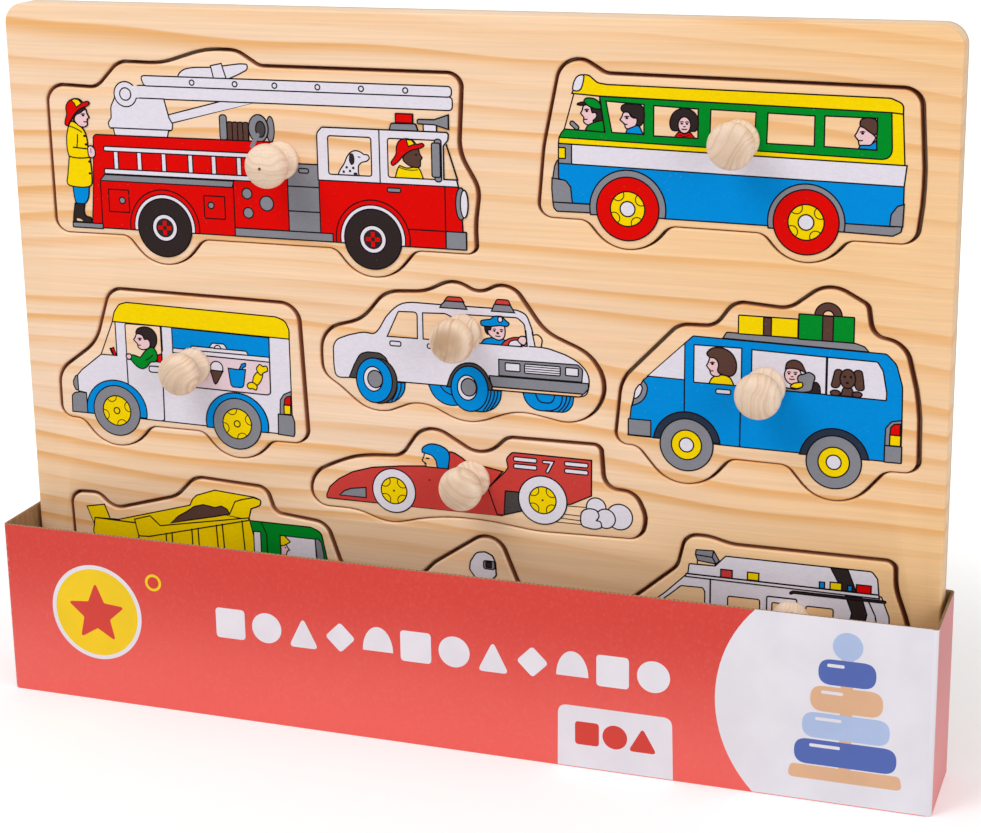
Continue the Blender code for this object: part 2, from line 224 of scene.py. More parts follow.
class PuzzleStage(bpy.types.PropertyGroup):
    floor: colour("Floor", "Floor under the puzzle", 246, 246, 246)
    lens: length("Lens", "Focal length of the camera", 80.87)
    distance: length("Distance", "Camera to board", 675.36)


def chosen(group):
    """The values of one of the groups above."""
    return getattr(bpy.context.scene, "puzzle_" + group)


class Finish:
    """A material under construction, with short ways to add and wire its nodes."""

    def __init__(self, name, roughness, **shine):
        self.material = bpy.data.materials.new(name)
        self.material.use_nodes = True
        self.nodes = self.material.node_tree.nodes
        self.links = self.material.node_tree.links
        self.shader = self.nodes["Principled BSDF"]
        self.feed(self.shader, Roughness=roughness, **shine)
        self.places = self.node("ShaderNodeTexCoord").outputs["Object"]

    def node(self, kind, **settings):
        made = self.nodes.new(kind)
        for key, value in settings.items():
            setattr(made, key, value)
        return made

    def put(self, socket, value):
        """Wire a socket to an output, or set its number or colour."""
        if isinstance(value, bpy.types.NodeSocket):
            self.links.new(value, socket)
        else:
            socket.default_value = value

    def feed(self, node, **values):
        """Set or wire a node's inputs by name, with underscores for spaces."""
        for key, value in values.items():
            self.put(node.inputs[key.replace("_", " ")], value)
        return node

    def axis(self, name):
        """One of the three values of a place."""
        return self.feed(self.node("ShaderNodeSeparateXYZ"), Vector=self.places).outputs[name]

    def joined(self, **values):
        """A place put together from its values along X, Y and Z."""
        return self.feed(self.node("ShaderNodeCombineXYZ"), **values).outputs[0]

    def reach(self, place):
        """How far a place lies from the middle."""
        return self.feed(self.node("ShaderNodeVectorMath", operation="LENGTH"), Vector=place).outputs["Value"]

    def stretched(self, x, y, z, shift=(0.0, 0.0, 0.0)):
        node = self.node("ShaderNodeMapping")
        return self.feed(node, Vector=self.places, Scale=(x, y, z), Location=shift).outputs[0]

    def noise(self, places, scale, detail=3.0, roughness=0.5):
        node = self.node("ShaderNodeTexNoise")
        return self.feed(node, Vector=places, Scale=scale, Detail=detail, Roughness=roughness).outputs["Fac"]

    def figure(self, x, y, z, detail=3.0, roughness=0.5, shift=(0.0, 0.0, 0.0)):
        """Noise stretched along the axes: the higher the number, the finer it is that way."""
        return self.noise(self.stretched(x, y, z, shift), 1.0, detail, roughness)

    def ripple(self, pitch, distortion):
        """Even ridges one after the other along X."""
        node = self.node("ShaderNodeTexWave", bands_direction="X")
        self.feed(node, Vector=self.places, Scale=WAVE_LENGTH / pitch, Distortion=distortion, Detail=1.0)
        return node.outputs["Fac"]

    def span(self, value, low, high, to_low=0.0, to_high=1.0):
        node = self.node("ShaderNodeMapRange", interpolation_type="SMOOTHSTEP")
        self.feed(node, Value=value, From_Min=low, From_Max=high, To_Min=to_low, To_Max=to_high)
        return node.outputs[0]

    def maths(self, operation, first, second=0.0):
        node = self.node("ShaderNodeMath", operation=operation)
        self.put(node.inputs[0], first)
        self.put(node.inputs[1], second)
        return node.outputs[0]

    def times(self, first, second):
        return self.maths("MULTIPLY", first, second)

    def plus(self, first, second):
        return self.maths("ADD", first, second)

    def blend(self, share, first, second, kind="MIX"):
        node = self.node("ShaderNodeMix", data_type="RGBA", blend_type=kind)
        self.put(node.inputs[0], share)
        for socket, tint in ((node.inputs[6], first), (node.inputs[7], second)):
            self.put(socket, tint if isinstance(tint, bpy.types.NodeSocket) else (*tint, 1.0))
        return node.outputs[2]

    def paint(self, tint):
        self.feed(self.shader, Base_Color=tint)

    def bump(self, height, depth, strength):
        node = self.feed(self.node("ShaderNodeBump"), Height=height, Distance=depth, Strength=strength)
        self.feed(self.shader, Normal=node.outputs[0])


def fibres_of(finish):
    """Fine lines of the pine, which also show through its ink."""
    return finish.figure(14.0, 300.0, 900.0, 3.0, 0.6)


def grain(finish):
    """Pine figure that runs along X: (colour, height of the fibres).

    A year ring darkens slowly to late wood and then ends sharply."""
    wood = chosen("wood")
    along = finish.axis("X")
    drift = finish.figure(3.5, 3.5, 11.0, 2.0, 0.4)
    height = finish.plus(finish.axis("Z"), finish.times(along, 0.03))
    height = finish.plus(height, finish.times(drift, 0.05))
    year = finish.maths("FRACT", finish.maths("DIVIDE", height, wood.grain_pitch * MM))
    late = finish.times(finish.span(year, 0.36, 0.9), finish.span(year, 0.9, 0.98, 1.0, 0.0))
    ring = finish.joined(X=finish.times(along, 3.0), Z=finish.times(height, 75.0))
    strength = finish.span(finish.noise(ring, 1.0, 1.0), 0.36, 0.62, 0.08, 1.0)
    broad = finish.figure(1.8, 4.0, 14.0, 2.0)
    heart = finish.plus(finish.span(broad, 0.36, 0.66, 0.05, 0.7), finish.span(along, 0.0, 0.13, 0.0, 0.5))
    tint = finish.blend(heart, wood.pale, wood.amber)
    tint = finish.blend(finish.times(late, strength), tint, wood.late)
    lines = fibres_of(finish)
    speck = finish.figure(60.0, 900.0, 2600.0, 2.0)
    shade = finish.times(finish.span(lines, 0.3, 0.72, 0.95, 1.05), finish.span(speck, 0.55, 0.8, 1.0, 0.94))
    tone = finish.feed(finish.node("ShaderNodeCombineColor"), Red=shade, Green=shade, Blue=shade)
    return finish.blend(1.0, tint, tone.outputs[0], "MULTIPLY"), lines


def pine():
    finish = Finish("pale_pine", 0.42, Coat_Weight=0.15, Coat_Roughness=0.25)
    tint, lines = grain(finish)
    finish.paint(tint)
    finish.bump(lines, 0.00004, 0.5)
    return finish.material


def sawn_wall():
    """Scorched wall of a laser-cut outline, paler only at the sanded rim."""
    finish = Finish("sawn_wall", 0.8)
    streaks = finish.figure(500.0, 40.0, 500.0, 2.0)
    edge = finish.plus(finish.axis("Y"), finish.times(streaks, 0.0006))
    sunk = finish.span(edge, FACE + 0.0002, FACE + 0.0010, 0.2, 1.0)
    finish.paint(finish.blend(sunk, grain(finish)[0], chosen("wood").burnt))
    finish.bump(streaks, 0.0001, 0.5)
    return finish.material


def plywood():
    """Birch plywood: a plain face and three plies on the edges."""
    tint = chosen("wood").ply
    dark = toned(tint, 0.62)
    finish = Finish("birch_plywood", 0.6)
    fibres = finish.figure(30.0, 700.0, 700.0, 4.0, 0.6)
    cloud = finish.figure(6.0, 20.0, 22.0)
    depth = finish.maths("SUBTRACT", finish.axis("Y"), BACKING_LOW.y)
    ply = finish.times(depth, 3.0 / (BACKING_HIGH.y - BACKING_LOW.y))
    middle = finish.times(finish.span(ply, 0.95, 1.05), finish.span(ply, 1.95, 2.05, 1.0, 0.0))
    tint = finish.blend(finish.span(cloud, 0.35, 0.7), tint, toned(tint, 1.16))
    tint = finish.blend(finish.span(fibres, 0.5, 0.75, 0.0, 0.35), tint, dark)
    finish.paint(finish.blend(middle, tint, dark))
    finish.bump(fibres, 0.00006, 0.6)
    return finish.material


def beech(number, tone):
    """Turned beech; its rings are worked out in each knob's own axes, whose Y runs through the knob."""
    wood = chosen("wood")
    finish = Finish("beech_" + str(number), 0.5)
    core = finish.reach(finish.stretched(1.0, 0.0, 1.0, (0.016 + 0.005 * number, 0.0, 0.006)))
    patch = finish.figure(110.0, 60.0, 110.0, 2.0, shift=(number, 0.0, 0.0))
    sway = finish.plus(core, finish.times(patch, 0.006))
    depth = finish.axis("Y")
    ring = finish.joined(X=finish.times(sway, 1000.0), Y=finish.times(depth, 50.0), Z=5.0 * number)
    rings = finish.noise(ring, 1.0, 2.0, 0.6)
    pores = finish.figure(2600.0, 260.0, 1200.0, 2.0)
    tint = finish.blend(finish.span(rings, 0.42, 0.7, 0.0, 0.3 + 0.5 * tone), wood.beech, wood.beech_ring)
    tint = finish.blend(finish.span(pores, 0.56, 0.74, 0.0, 0.3), tint, wood.beech_ring)
    tip = finish.span(depth, (0.3 - KNOB_HEIGHT) * MM, (2.8 - KNOB_HEIGHT) * MM, tone, 0.12 * tone)
    tip = finish.times(tip, finish.span(patch, 0.25, 0.6, 0.45, 1.0))
    finish.paint(finish.blend(tip, tint, wood.end_grain))
    finish.bump(rings, 0.00003, 0.4)
    return finish.material


def lathe_mark():
    finish = Finish("lathe_mark", 0.8)
    fine = finish.noise(finish.places, 3000.0)
    finish.paint(finish.blend(fine, srgb(98, 72, 52), srgb(146, 112, 84)))
    return finish.material


def steel():
    finish = Finish("screw_steel", 0.35, Metallic=1.0)
    scratches = finish.noise(finish.places, 900.0, 4.0)
    finish.paint(finish.blend(scratches, srgb(168, 166, 160), srgb(206, 204, 198)))
    finish.feed(finish.shader, Roughness=finish.span(scratches, 0.3, 0.7, 0.28, 0.45))
    return finish.material


def ink(name, tint):
    """Flat screen-printed ink, with pinholes where the wood's fibres stand up."""
    finish = Finish(name + "_ink", 0.5, Specular_IOR_Level=INK_SHINE)
    tooth = finish.figure(700.0, 700.0, 1500.0, 3.0, 0.7)
    body = finish.blend(finish.span(tooth, 0.3, 0.7), toned(tint, 0.93), tint)
    pinholes = finish.span(finish.figure(1600.0, 1600.0, 1600.0, 1.0), 0.74, 0.8, 0.0, 0.4)
    speck = tuple(channel + (1.0 - channel) * 0.2 for channel in tint)
    finish.paint(finish.blend(pinholes, body, speck))
    finish.bump(fibres_of(finish), 0.00002, 0.4)
    return finish.material


def red_card():
    """Printed card: red that lightens downwards, paler ends, and the white of the panel round one fold."""
    sleeve = chosen("sleeve")
    finish = Finish("red_card", 0.4, Specular_IOR_Level=CARD_SHINE)
    side = finish.axis("X")
    deep = finish.axis("Y")
    edge = SLEEVE_HIGH.x
    front = SLEEVE_LOW.y
    back = SLEEVE_HIGH.y
    cloud = finish.figure(30.0, 30.0, 30.0, 4.0, 0.6)
    height = finish.plus(finish.axis("Z"), finish.times(cloud, 0.008))
    tint = finish.blend(finish.span(height, 0.006, SLEEVE_HIGH.z, 1.0, 0.0), sleeve.red, sleeve.light_red)
    weave = finish.noise(finish.places, 900.0)
    tint = finish.blend(finish.span(weave, 0.45, 0.8, 0.0, 0.03), tint, sleeve.white)
    across = finish.maths("ABSOLUTE", side)
    wear = finish.span(finish.figure(260.0, 260.0, 700.0, 5.0, 0.7), 0.5, 0.68, 0.0, 0.35)
    near_front = finish.span(deep, front + 0.0005, front + 0.0016, 1.0, 0.0)
    near_fold = finish.plus(near_front, finish.span(deep, back - 0.0016, back - 0.0005))
    near_end = finish.span(across, edge - 0.0016, edge - 0.0005)
    tint = finish.blend(finish.times(near_end, finish.times(wear, near_fold)), tint, sleeve.white)
    tint = finish.blend(finish.span(across, edge - 0.0005, edge - 0.0001, 0.0, 0.24), tint, sleeve.white)
    panel = finish.maths("GREATER_THAN", side, edge - 0.0017)
    facing = finish.span(deep, front + 0.0008, front + 0.0012, 1.0, 0.0)
    finish.paint(finish.blend(finish.times(panel, facing), tint, sleeve.white))
    finish.bump(finish.ripple(CARD_RIPPLE, 1.0), 0.00002, 0.5)
    return finish.material


def kraft(name, with_flute_shade):
    """Brown unprinted card; where it is cut, the fluting of the core is drawn as dark stripes of painted
    shade in its hollows.
    """
    brown = chosen("sleeve").kraft
    finish = Finish(name, 0.85)
    fibres = finish.figure(500.0, 500.0, 140.0, 4.0, 0.7)
    tint = finish.blend(finish.span(fibres, 0.3, 0.75, 0.0, 0.7), brown, toned(brown, 0.6))
    if with_flute_shade:
        # Painted shade: the hollows of the fluting are darkened as stripes along X
        flute_hollow_shade = finish.span(finish.ripple(FLUTE_PITCH, 0.8), 0.55, 0.9, 0.0, 0.75)
        tint = finish.blend(flute_hollow_shade, tint, toned(brown, 0.35))
    finish.paint(tint)
    finish.bump(fibres, 0.0001, 0.5)
    return finish.material


def sleeve_ink(name, tint):
    finish = Finish(name + "_card_ink", 0.4, Specular_IOR_Level=CARD_SHINE)
    cloud = finish.figure(60.0, 60.0, 60.0, 4.0)
    finish.paint(finish.blend(finish.span(cloud, 0.3, 0.7), toned(tint, 0.93), tint))
    finish.bump(finish.figure(900.0, 900.0, 300.0), 0.00002, 0.4)
    return finish.material


finishes = {}


def finish_of(name, maker, *values):
    """The material of that name, made the first time it is asked for."""
    if name not in finishes:
        finishes[name] = maker(*values)
    return finishes[name]


def mesh_of(name, bm, materials):
    mesh = bpy.data.meshes.new(name)
    bm.to_mesh(mesh)
    bm.free()
    for material in materials:
        mesh.materials.append(material)
    return mesh


def in_scene(name, data):
    """A new object for a mesh, a lamp or a camera."""
    made = bpy.data.objects.new(name, data)
    bpy.context.scene.collection.objects.link(made)
    return made


def add_piece(name, bm, materials, body, replaced=(), place=None):
    """Turn a mesh in metres into a piece that rides on a body of the frame."""
    mesh = mesh_of(name, bm, materials)
    mesh.set_sharp_from_angle(angle=SMOOTH_ANGLE)
    piece = in_scene(name, mesh)
    if place is not None:
        piece.matrix_world = place
    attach(piece, body)
    if replaced:
        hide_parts(*replaced)


def signed_area(points):
    return sum(a.x * b.y - b.x * a.y for a, b in zip(points, points[1:] + points[:1])) / 2


def turned_round(points):
    """The same outline, anticlockwise."""
    return points if signed_area(points) > 0 else points[::-1]


def drawn_in(points, distance):
    """An outline moved to its left by a distance, which for an anticlockwise one is inwards."""
    result = []
    for index, point in enumerate(points):
        along = (point - points[index - 1]).normalized()
        onward = (points[(index + 1) % len(points)] - point).normalized()
        middle = along + onward
        if middle.length < 0.2:
            middle = along
        middle.normalize()
        share = max(MITRE, middle.dot(along))
        result.append(point + Vector((-middle.y, middle.x)) * (distance / share))
    return result


def worn(points, right, left, above):
    """An anticlockwise outline moved outwards at its right, its left and its top."""
    moved = []
    for index, point in enumerate(points):
        along = (points[(index + 1) % len(points)] - points[index - 1]).normalized()
        aside = along.y * (right if along.y > 0 else left)
        moved.append(point + Vector((aside, max(0.0, -along.x) * above)))
    return moved


def eased(points):
    """A closed outline with its faceted arcs drawn finer and its straight stretches left alone."""
    count = len(points)
    headings = []
    for index, here in enumerate(points):
        before = here - points[index - 1]
        after = points[(index + 1) % count] - here
        if before.length > UNEVEN * after.length:
            headings.append(before.normalized())
        elif after.length > UNEVEN * before.length:
            headings.append(after.normalized())
        else:
            headings.append((before.normalized() + after.normalized()).normalized())
    finer = []
    for index, here in enumerate(points):
        onward = (index + 1) % count
        reach = (points[onward] - here).length
        turn = headings[index].angle(headings[onward], 0.0)
        steps = max(1, min(4, math.ceil(turn / FINE_TURN)))
        for step in range(steps):
            t = step / steps
            finer.append(
                here * (2 * t**3 - 3 * t**2 + 1) + headings[index] * (reach * (t**3 - 2 * t**2 + t))
                + points[onward] * (3 * t**2 - 2 * t**3) + headings[onward] * (reach * (t**3 - t**2))
            )
    return finer


def face_loops(node):
    """Outlines round the front face of a flat node, as lists of (x, z), the longest first.

    The front's faces are kept in the mesh's order, so that every run starts at the same corners."""
    bm = bmesh.new()
    bm.from_mesh(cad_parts[node].data)
    bmesh.ops.remove_doubles(bm, verts=bm.verts, dist=WELD)
    front = min(vertex.co.y for vertex in bm.verts)
    cap = dict.fromkeys(face for face in bm.faces if all(vertex.co.y < front + FLAT for vertex in face.verts))
    onward = {}
    for face in cap:
        for edge_loop in face.loops:
            if sum(neighbour in cap for neighbour in edge_loop.edge.link_faces) == 1:
                onward[edge_loop.vert] = edge_loop.link_loop_next.vert
    loops = []
    while onward:
        vertex = next(iter(onward))
        loop = []
        while vertex in onward:
            loop.append(Vector((vertex.co.x, vertex.co.z)))
            vertex = onward.pop(vertex)
        loops.append(loop)
    bm.free()
    return sorted(loops, key=lambda loop: -abs(signed_area(loop)))


def add_face(bm, corners, material, smooth=False):
    face = bm.faces.new(corners)
    face.material_index = material
    face.smooth = smooth


def upright(bm, points, y):
    """New corners for the points of an outline on X and Z."""
    return [bm.verts.new((point.x, y, point.y)) for point in points]


def bridge(bm, near, far, material, smooth):
    for index in range(len(near)):
        add_face(bm, (near[index - 1], near[index], far[index], far[index - 1]), material, smooth)


def skin(bm, rings):
    """Join rings of corners one after the other, each with the material of the band that ends there."""
    for (near, _), (far, material) in zip(rings, rings[1:]):
        bridge(bm, near, far, material, True)


def fill(bm, loops, material):
    """Close flat loops that lie parallel to X and Z."""
    flat = [vertex for loop in loops for vertex in loop]
    drawn = [[Vector((vertex.co.x, vertex.co.z, 0.0)) for vertex in loop] for loop in loops]
    for corners in tessellate_polygon(drawn):
        add_face(bm, [flat[corner] for corner in corners], material)


def hull(rings):
    """A closed solid over rings of places, given as (places, material of the band that ends there)."""
    bm = bmesh.new()
    made = [([bm.verts.new(place) for place in places], material) for places, material in rings]
    skin(bm, made)
    for ring, material in (made[0], made[-1]):
        add_face(bm, ring, material)
    bmesh.ops.recalc_face_normals(bm, faces=bm.faces)
    return bm


def plate(loops, front, back, rim, back_rim, wall_materials, countersink=()):
    """A board with holes, rounded over at its front and back edges; lengths in metres.

    A countersink lists (widening, distance before the back) for the holes, from the front."""
    bm = bmesh.new()
    made = []
    for number, loop in enumerate(loops):
        outline = turned_round(loop)
        if number > 0:
            outline = outline[::-1]
        rings = []
        for step in range(RIM_STEPS + 1):
            angle = step / RIM_STEPS * math.pi / 2
            rings.append((rim * (1 - math.sin(angle)), front + rim * (1 - math.cos(angle)), 0))
        if number > 0 and countersink:
            rings += [(wider, back - depth, 1) for wider, depth in countersink]
        else:
            rings += [(0.0, back - back_rim, wall_materials[min(number, 1)]), (back_rim, back, 0)]
        walls = []
        for inwards, y, material in rings:
            points = drawn_in(outline, inwards) if inwards > 0 else outline
            walls.append((upright(bm, points, y), material))
        skin(bm, walls)
        made.append(walls)
    fill(bm, [walls[0][0] for walls in made], 0)
    fill(bm, [walls[-1][0] for walls in made], 0)
    bmesh.ops.recalc_face_normals(bm, faces=bm.faces)
    return bm


def circle(middle, radius, count):
    turns = [2 * math.pi * step / count for step in range(count)]
    return [middle + Vector((math.cos(a), math.sin(a))) * radius for a in turns]


def knob_centre(name):
    low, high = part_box(name + "_knob")
    return Vector(((low.x + high.x) / 2, (low.z + high.z) / 2))


class PUZZLE_OT_board(bpy.types.Operator):
    """Make the sawn pine board and the plywood glued behind it"""

    bl_idname = "puzzle.board"
    bl_label = "Board"

    def execute(self, context):
        wood = chosen("wood")
        outline, *holes = [turned_round(eased(loop)) for loop in face_loops("board_frame")]
        room = [side * MM for side in (wood.room_right, wood.room_left, wood.room_above)]
        loops = [outline] + [worn(hole, *room) for hole in holes]
        materials = [finish_of("pine", pine), finish_of("sawn_wall", sawn_wall)]
        bm = plate(loops, FACE, BACKING_LOW.y, wood.rim * MM, GLUED_RIM, (0, 1))
        add_piece("board_front", bm, materials, "board", ["board_frame"])
        loops = [eased(loop) for loop in face_loops("board_backing")]
        bm = plate(loops, BACKING_LOW.y + GLUE_GAP, BACKING_HIGH.y, GLUED_RIM, BACKING_RIM, (0, 0))
        materials = [finish_of("plywood", plywood)]
        add_piece("board_back", bm, materials, "board", ["board_backing"])
        return {"FINISHED"}


class PUZZLE_OT_vehicles(bpy.types.Operator):
    """Make the nine lift-out pieces, each sawn from the same board"""

    bl_idname = "puzzle.vehicles"
    bl_label = "Lift-out pieces"

    def execute(self, context):
        rim = chosen("wood").rim * MM
        materials = [finish_of("pine", pine), finish_of("sawn_wall", sawn_wall)]
        for name in VEHICLES:
            low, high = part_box(name)
            loops = [eased(face_loops(name)[0]), circle(knob_centre(name), SCREW_HOLE, HOLE_SIDES)]
            bm = plate(loops, low.y, high.y, rim, PIECE_RIM, (1, 1), COUNTERSINK)
            add_piece(name + "_piece", bm, materials, name, [name])
        return {"FINISHED"}


def knob_profile(marked):
    """(radius, height above the board, material) from foot to tip, which may keep the lathe's mark."""
    profile = [(radius, height, 0) for radius, height in KNOB_FOOT + KNOB_NECK]
    rise = KNOB_HEIGHT - KNOB_HEAD_MIDDLE
    for step in range(KNOB_HEAD_STEPS + 1):
        angle = KNOB_HEAD_START + (KNOB_HEAD_END - KNOB_HEAD_START) * step / KNOB_HEAD_STEPS
        profile.append((KNOB_HEAD_RADIUS * math.cos(angle), KNOB_HEAD_MIDDLE + rise * math.sin(angle), 0))
    if marked:
        return profile + [(KNOB_MARK * 0.9, KNOB_HEIGHT - 0.12, 1), (KNOB_MARK * 0.4, KNOB_HEIGHT - 0.4, 1)]
    return profile + [(KNOB_MARK * 0.5, KNOB_HEIGHT, 0)]


class PUZZLE_OT_knobs(bpy.types.Operator):
    """Turn the nine beech knobs, each with its grain at another angle"""

    bl_idname = "puzzle.knobs"
    bl_label = "Knobs"

    def execute(self, context):
        turns = random.Random(GRAIN_SEED)
        for number, name in enumerate(VEHICLES):
            marked = number == 0
            rings = []
            for radius, height, material in knob_profile(marked):
                points = circle(Vector((0.0, 0.0)), radius * MM, KNOB_SIDES)
                rings.append(([(point.x, -height * MM, point.y) for point in points], material))
            centre = knob_centre(name)
            spin = Matrix.Rotation(turns.uniform(0, 2 * math.pi), 4, "Y")
            place = Matrix.Translation((centre.x, FACE, centre.y)) @ spin
            materials = [beech(number, KNOB_TONES[number])] + ([lathe_mark()] if marked else [])
            add_piece(name + "_handle", hull(rings), materials, name, [name + "_knob"], place)
        return {"FINISHED"}


class PUZZLE_OT_screws(bpy.types.Operator):
    """Give the nine knob screws their steel"""

    bl_idname = "puzzle.screws"
    bl_label = "Screws"

    def execute(self, context):
        for name in VEHICLES:
            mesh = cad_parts[name + "_screw"].data
            mesh.materials.clear()
            mesh.materials.append(finish_of("steel", steel))
        return {"FINISHED"}


def bent(start, here, end, t):
    """A place on the curve from start to end that bends towards here."""
    return start * (1 - t) ** 2 + here * (2 * t * (1 - t)) + end * t**2


def rounded(corners):
    """Points of a closed outline whose corners are (x, y) or (x, y, fillet radius)."""
    places = [Vector(corner[:2]) for corner in corners]
    points = []
    for index, corner in enumerate(corners):
        here = places[index]
        back = places[index - 1] - here
        onward = places[(index + 1) % len(corners)] - here
        radius = corner[2] if len(corner) > 2 else 0.0
        half = back.angle(onward, math.pi) / 2
        if radius == 0.0 or half > FILLET_STRAIGHT:
            points.append(here)
            continue
        reach = min(radius / math.tan(half), back.length * FILLET_SHARE, onward.length * FILLET_SHARE)
        start = here + back.normalized() * reach
        end = here + onward.normalized() * reach
        steps = max(2, math.ceil((math.pi - 2 * half) / FILLET_TURN))
        points += [bent(start, here, end, step / steps) for step in range(steps + 1)]
    return points


def flowing(places):
    """An open line whose inner corners flow into each other."""
    points = [Vector(place[:2]) for place in places]
    result = points[:1]
    for index in range(1, len(points) - 1):
        here = points[index]
        start = points[0] if index == 1 else (points[index - 1] + here) / 2
        end = points[-1] if index == len(points) - 2 else (here + points[index + 1]) / 2
        result += [bent(start, here, end, t) for t in (0.2, 0.4, 0.6, 0.8, 1.0)]
    return result


def arc(middle, across, up, start, end, steps):
    """Points on an ellipse; angles in degrees, anticlockwise from the right."""
    points = []
    for step in range(steps + 1):
        angle = math.radians(start + (end - start) * step / steps)
        points.append((middle[0] + across * math.cos(angle), middle[1] - up * math.sin(angle)))
    return points


class Pen:
    """Draws closed slabs of ink on an upright face, each one over what it overlaps.

    Drawn places are (x to the right, y downwards) in millimetres from the corner of the sheet."""

    # Height of one layer, how deep a slab is rooted in the face, and the radius of a soft corner
    STEP = 0.012
    ROOT = 0.03
    SOFT = 9.0

    def __init__(self, corner, line_width):
        self.corner = corner
        self.line_width = line_width
        self.bm = bmesh.new()
        self.inks = []
        self.boxes = []

    def layer_over(self, points, steps):
        xs = [point.x for point in points]
        ys = [point.y for point in points]
        box = (min(xs), max(xs), min(ys), max(ys))
        layer = 0
        for other, top in self.boxes:
            if box[0] < other[1] and other[0] < box[1] and box[2] < other[3] and other[2] < box[3]:
                layer = max(layer, top)
        self.boxes.append((box, layer + steps))
        return layer + 1

    def slab(self, ink_name, points, layer):
        if ink_name not in self.inks:
            self.inks.append(ink_name)
        material = self.inks.index(ink_name)
        places = [Vector((self.corner.x + p.x * MM, self.corner.z - p.y * MM)) for p in points]
        levels = (self.corner.y - layer * self.STEP * MM, self.corner.y + self.ROOT * MM)
        near, far = (upright(self.bm, places, y) for y in levels)
        bridge(self.bm, near, far, material, False)
        fill(self.bm, [near], material)
        fill(self.bm, [far], material)

    def area(self, ink_name, points, line=None):
        """A filled outline; half of its drawn line lies outside it."""
        points = turned_round([Vector(point[:2]) for point in points])
        half = (self.line_width if line is None else line) / 2
        if half == 0:
            self.slab(ink_name, points, self.layer_over(points, 1))
            return
        layer = self.layer_over(drawn_in(points, -half), 2)
        self.slab("line", drawn_in(points, -half), layer)
        self.slab(ink_name, drawn_in(points, half), layer + 1)

    def shape(self, ink_name, *corners, line=None):
        self.area(ink_name, rounded(corners), line)

    def soft(self, ink_name, *corners, line=None):
        """A shape whose corners flow into each other, apart from those that name a radius of their own."""
        corners = [corner if len(corner) > 2 else (*corner, self.SOFT) for corner in corners]
        self.shape(ink_name, *corners, line=line)

    def curve(self, *places, width=None):
        self.line(*flowing(places), width=width)

    def box(self, ink_name, low, high, radius=0.0):
        corners = (low, (high[0], low[1]), high, (low[0], high[1]))
        limit = 0.49 * min(high[0] - low[0], high[1] - low[1])
        self.shape(ink_name, *[(*corner, min(radius, limit)) for corner in corners])

    def disc(self, ink_name, middle, across, up=None, line=None):
        up = up or across
        steps = max(12, min(64, int(10 * max(across, up) ** 0.7 + 10)))
        self.area(ink_name, arc(middle, across, up, 0, 360, steps)[:-1], line)

    def discs(self, middle, **radii):
        """Round prints with one middle, from the lowest to the topmost ink."""
        for ink_name, radius in radii.items():
            self.disc(ink_name, middle, radius)

    def dot(self, middle, across, up=None, ink="line"):
        self.disc(ink, middle, across, up, 0)

    def arch(self, ink_name, middle, across, floor, up=None):
        """The part above a floor of a disc round a wheel."""
        up = up or across
        drop = math.degrees(math.asin(max(-1.0, min(1.0, (middle[1] - floor) / up))))
        self.area(ink_name, arc(middle, across, up, drop, 180 - drop, 36))

    def ring(self, ink_name, middle, outer, inner):
        """Half a ring standing on its middle, such as a handle."""
        self.area(ink_name, arc(middle, outer, outer, 0, 180, 18) + arc(middle, inner, inner, 180, 0, 12))

    def stroke(self, ink_name, width, *places):
        """A line with an outline of its own, such as a bar or a figure."""
        self.line(*places, width=width + self.line_width)
        self.line(*places, width=width - self.line_width, ink=ink_name)

    def line(self, *places, width=None, ink="line"):
        """A stroke of even width through the given places, with round ends."""
        half = (self.line_width if width is None else width) / 2
        path = [Vector(place[:2]) for place in places]
        sides = ([], [])
        for index, here in enumerate(path):
            before = (here - path[max(index - 1, 0)]).normalized()
            after = (path[min(index + 1, len(path) - 1)] - here).normalized()
            heading = (before + after).normalized()
            steady = after if index == 0 else before
            share = max(MITRE, heading.dot(steady))
            side = Vector((-heading.y, heading.x)) * (half / share)
            sides[0].append(here + side)
            sides[1].append(here - side)
        ends = []
        for place, way in ((path[-1], path[-1] - path[-2]), (path[0], path[0] - path[1])):
            start = math.atan2(way.y, way.x) + math.pi / 2
            turns = [start - math.pi * step / 6 for step in range(1, 6)]
            ends.append([place + Vector((math.cos(a), math.sin(a))) * half for a in turns])
        points = turned_round(sides[0] + ends[0] + sides[1][::-1] + ends[1])
        self.slab(ink, points, self.layer_over(points, 1))

    def scallops(self, middle, radius, size, start):
        """Four drawn hollows round the edge of a hub."""
        for number in range(4):
            angle = start + 90 * number
            x = middle[0] + radius * math.cos(math.radians(angle))
            y = middle[1] - radius * math.sin(math.radians(angle))
            self.line(*arc((x, y), size, size, angle + 100, angle + 260, 8), width=0.3)

    def profile(self, eye, mouth, way):
        """Brow, eye and mouth of a drawn face from the side; way is 1 where it looks to the right."""
        x, y = eye
        self.curve((x - 0.7, y - 0.3), (x, y - 0.75), (x + 0.6, y - 0.4), width=0.32)
        self.dot(eye, 0.45, 0.36)
        x, y = mouth
        self.curve(mouth, (x - 0.5 * way, y + 0.15), (x - 1.0 * way, y), width=0.36)

    def face(self, middle, apart):
        """Brows, eyes, nose and mouth of a drawn face from the front."""
        x, y = middle
        for side in (x - apart, x + apart):
            self.curve((side - 0.45, y - 0.75), (side, y - 1.05), (side + 0.45, y - 0.75), width=0.3)
            self.dot((side, y - 0.3), 0.4, 0.3)
        self.line((x - 0.2, y + 0.55), (x + 0.25, y + 0.55), width=0.34)
        self.curve((x - 0.7, y + 1.25), (x, y + 1.5), (x + 0.7, y + 1.25), width=0.34)

    def cross(self, ink_name, middle, reach, width):
        """A four-armed hub."""
        for number in range(4):
            way = Vector((math.cos(number * math.pi / 2), math.sin(number * math.pi / 2)))
            side = Vector((-way.y, way.x)) * (width / 2)
            base = Vector(middle) + way * 0.65
            tip = Vector(middle) + way * reach
            self.area(ink_name, [base + side, tip + side, tip - side, base - side], 0)

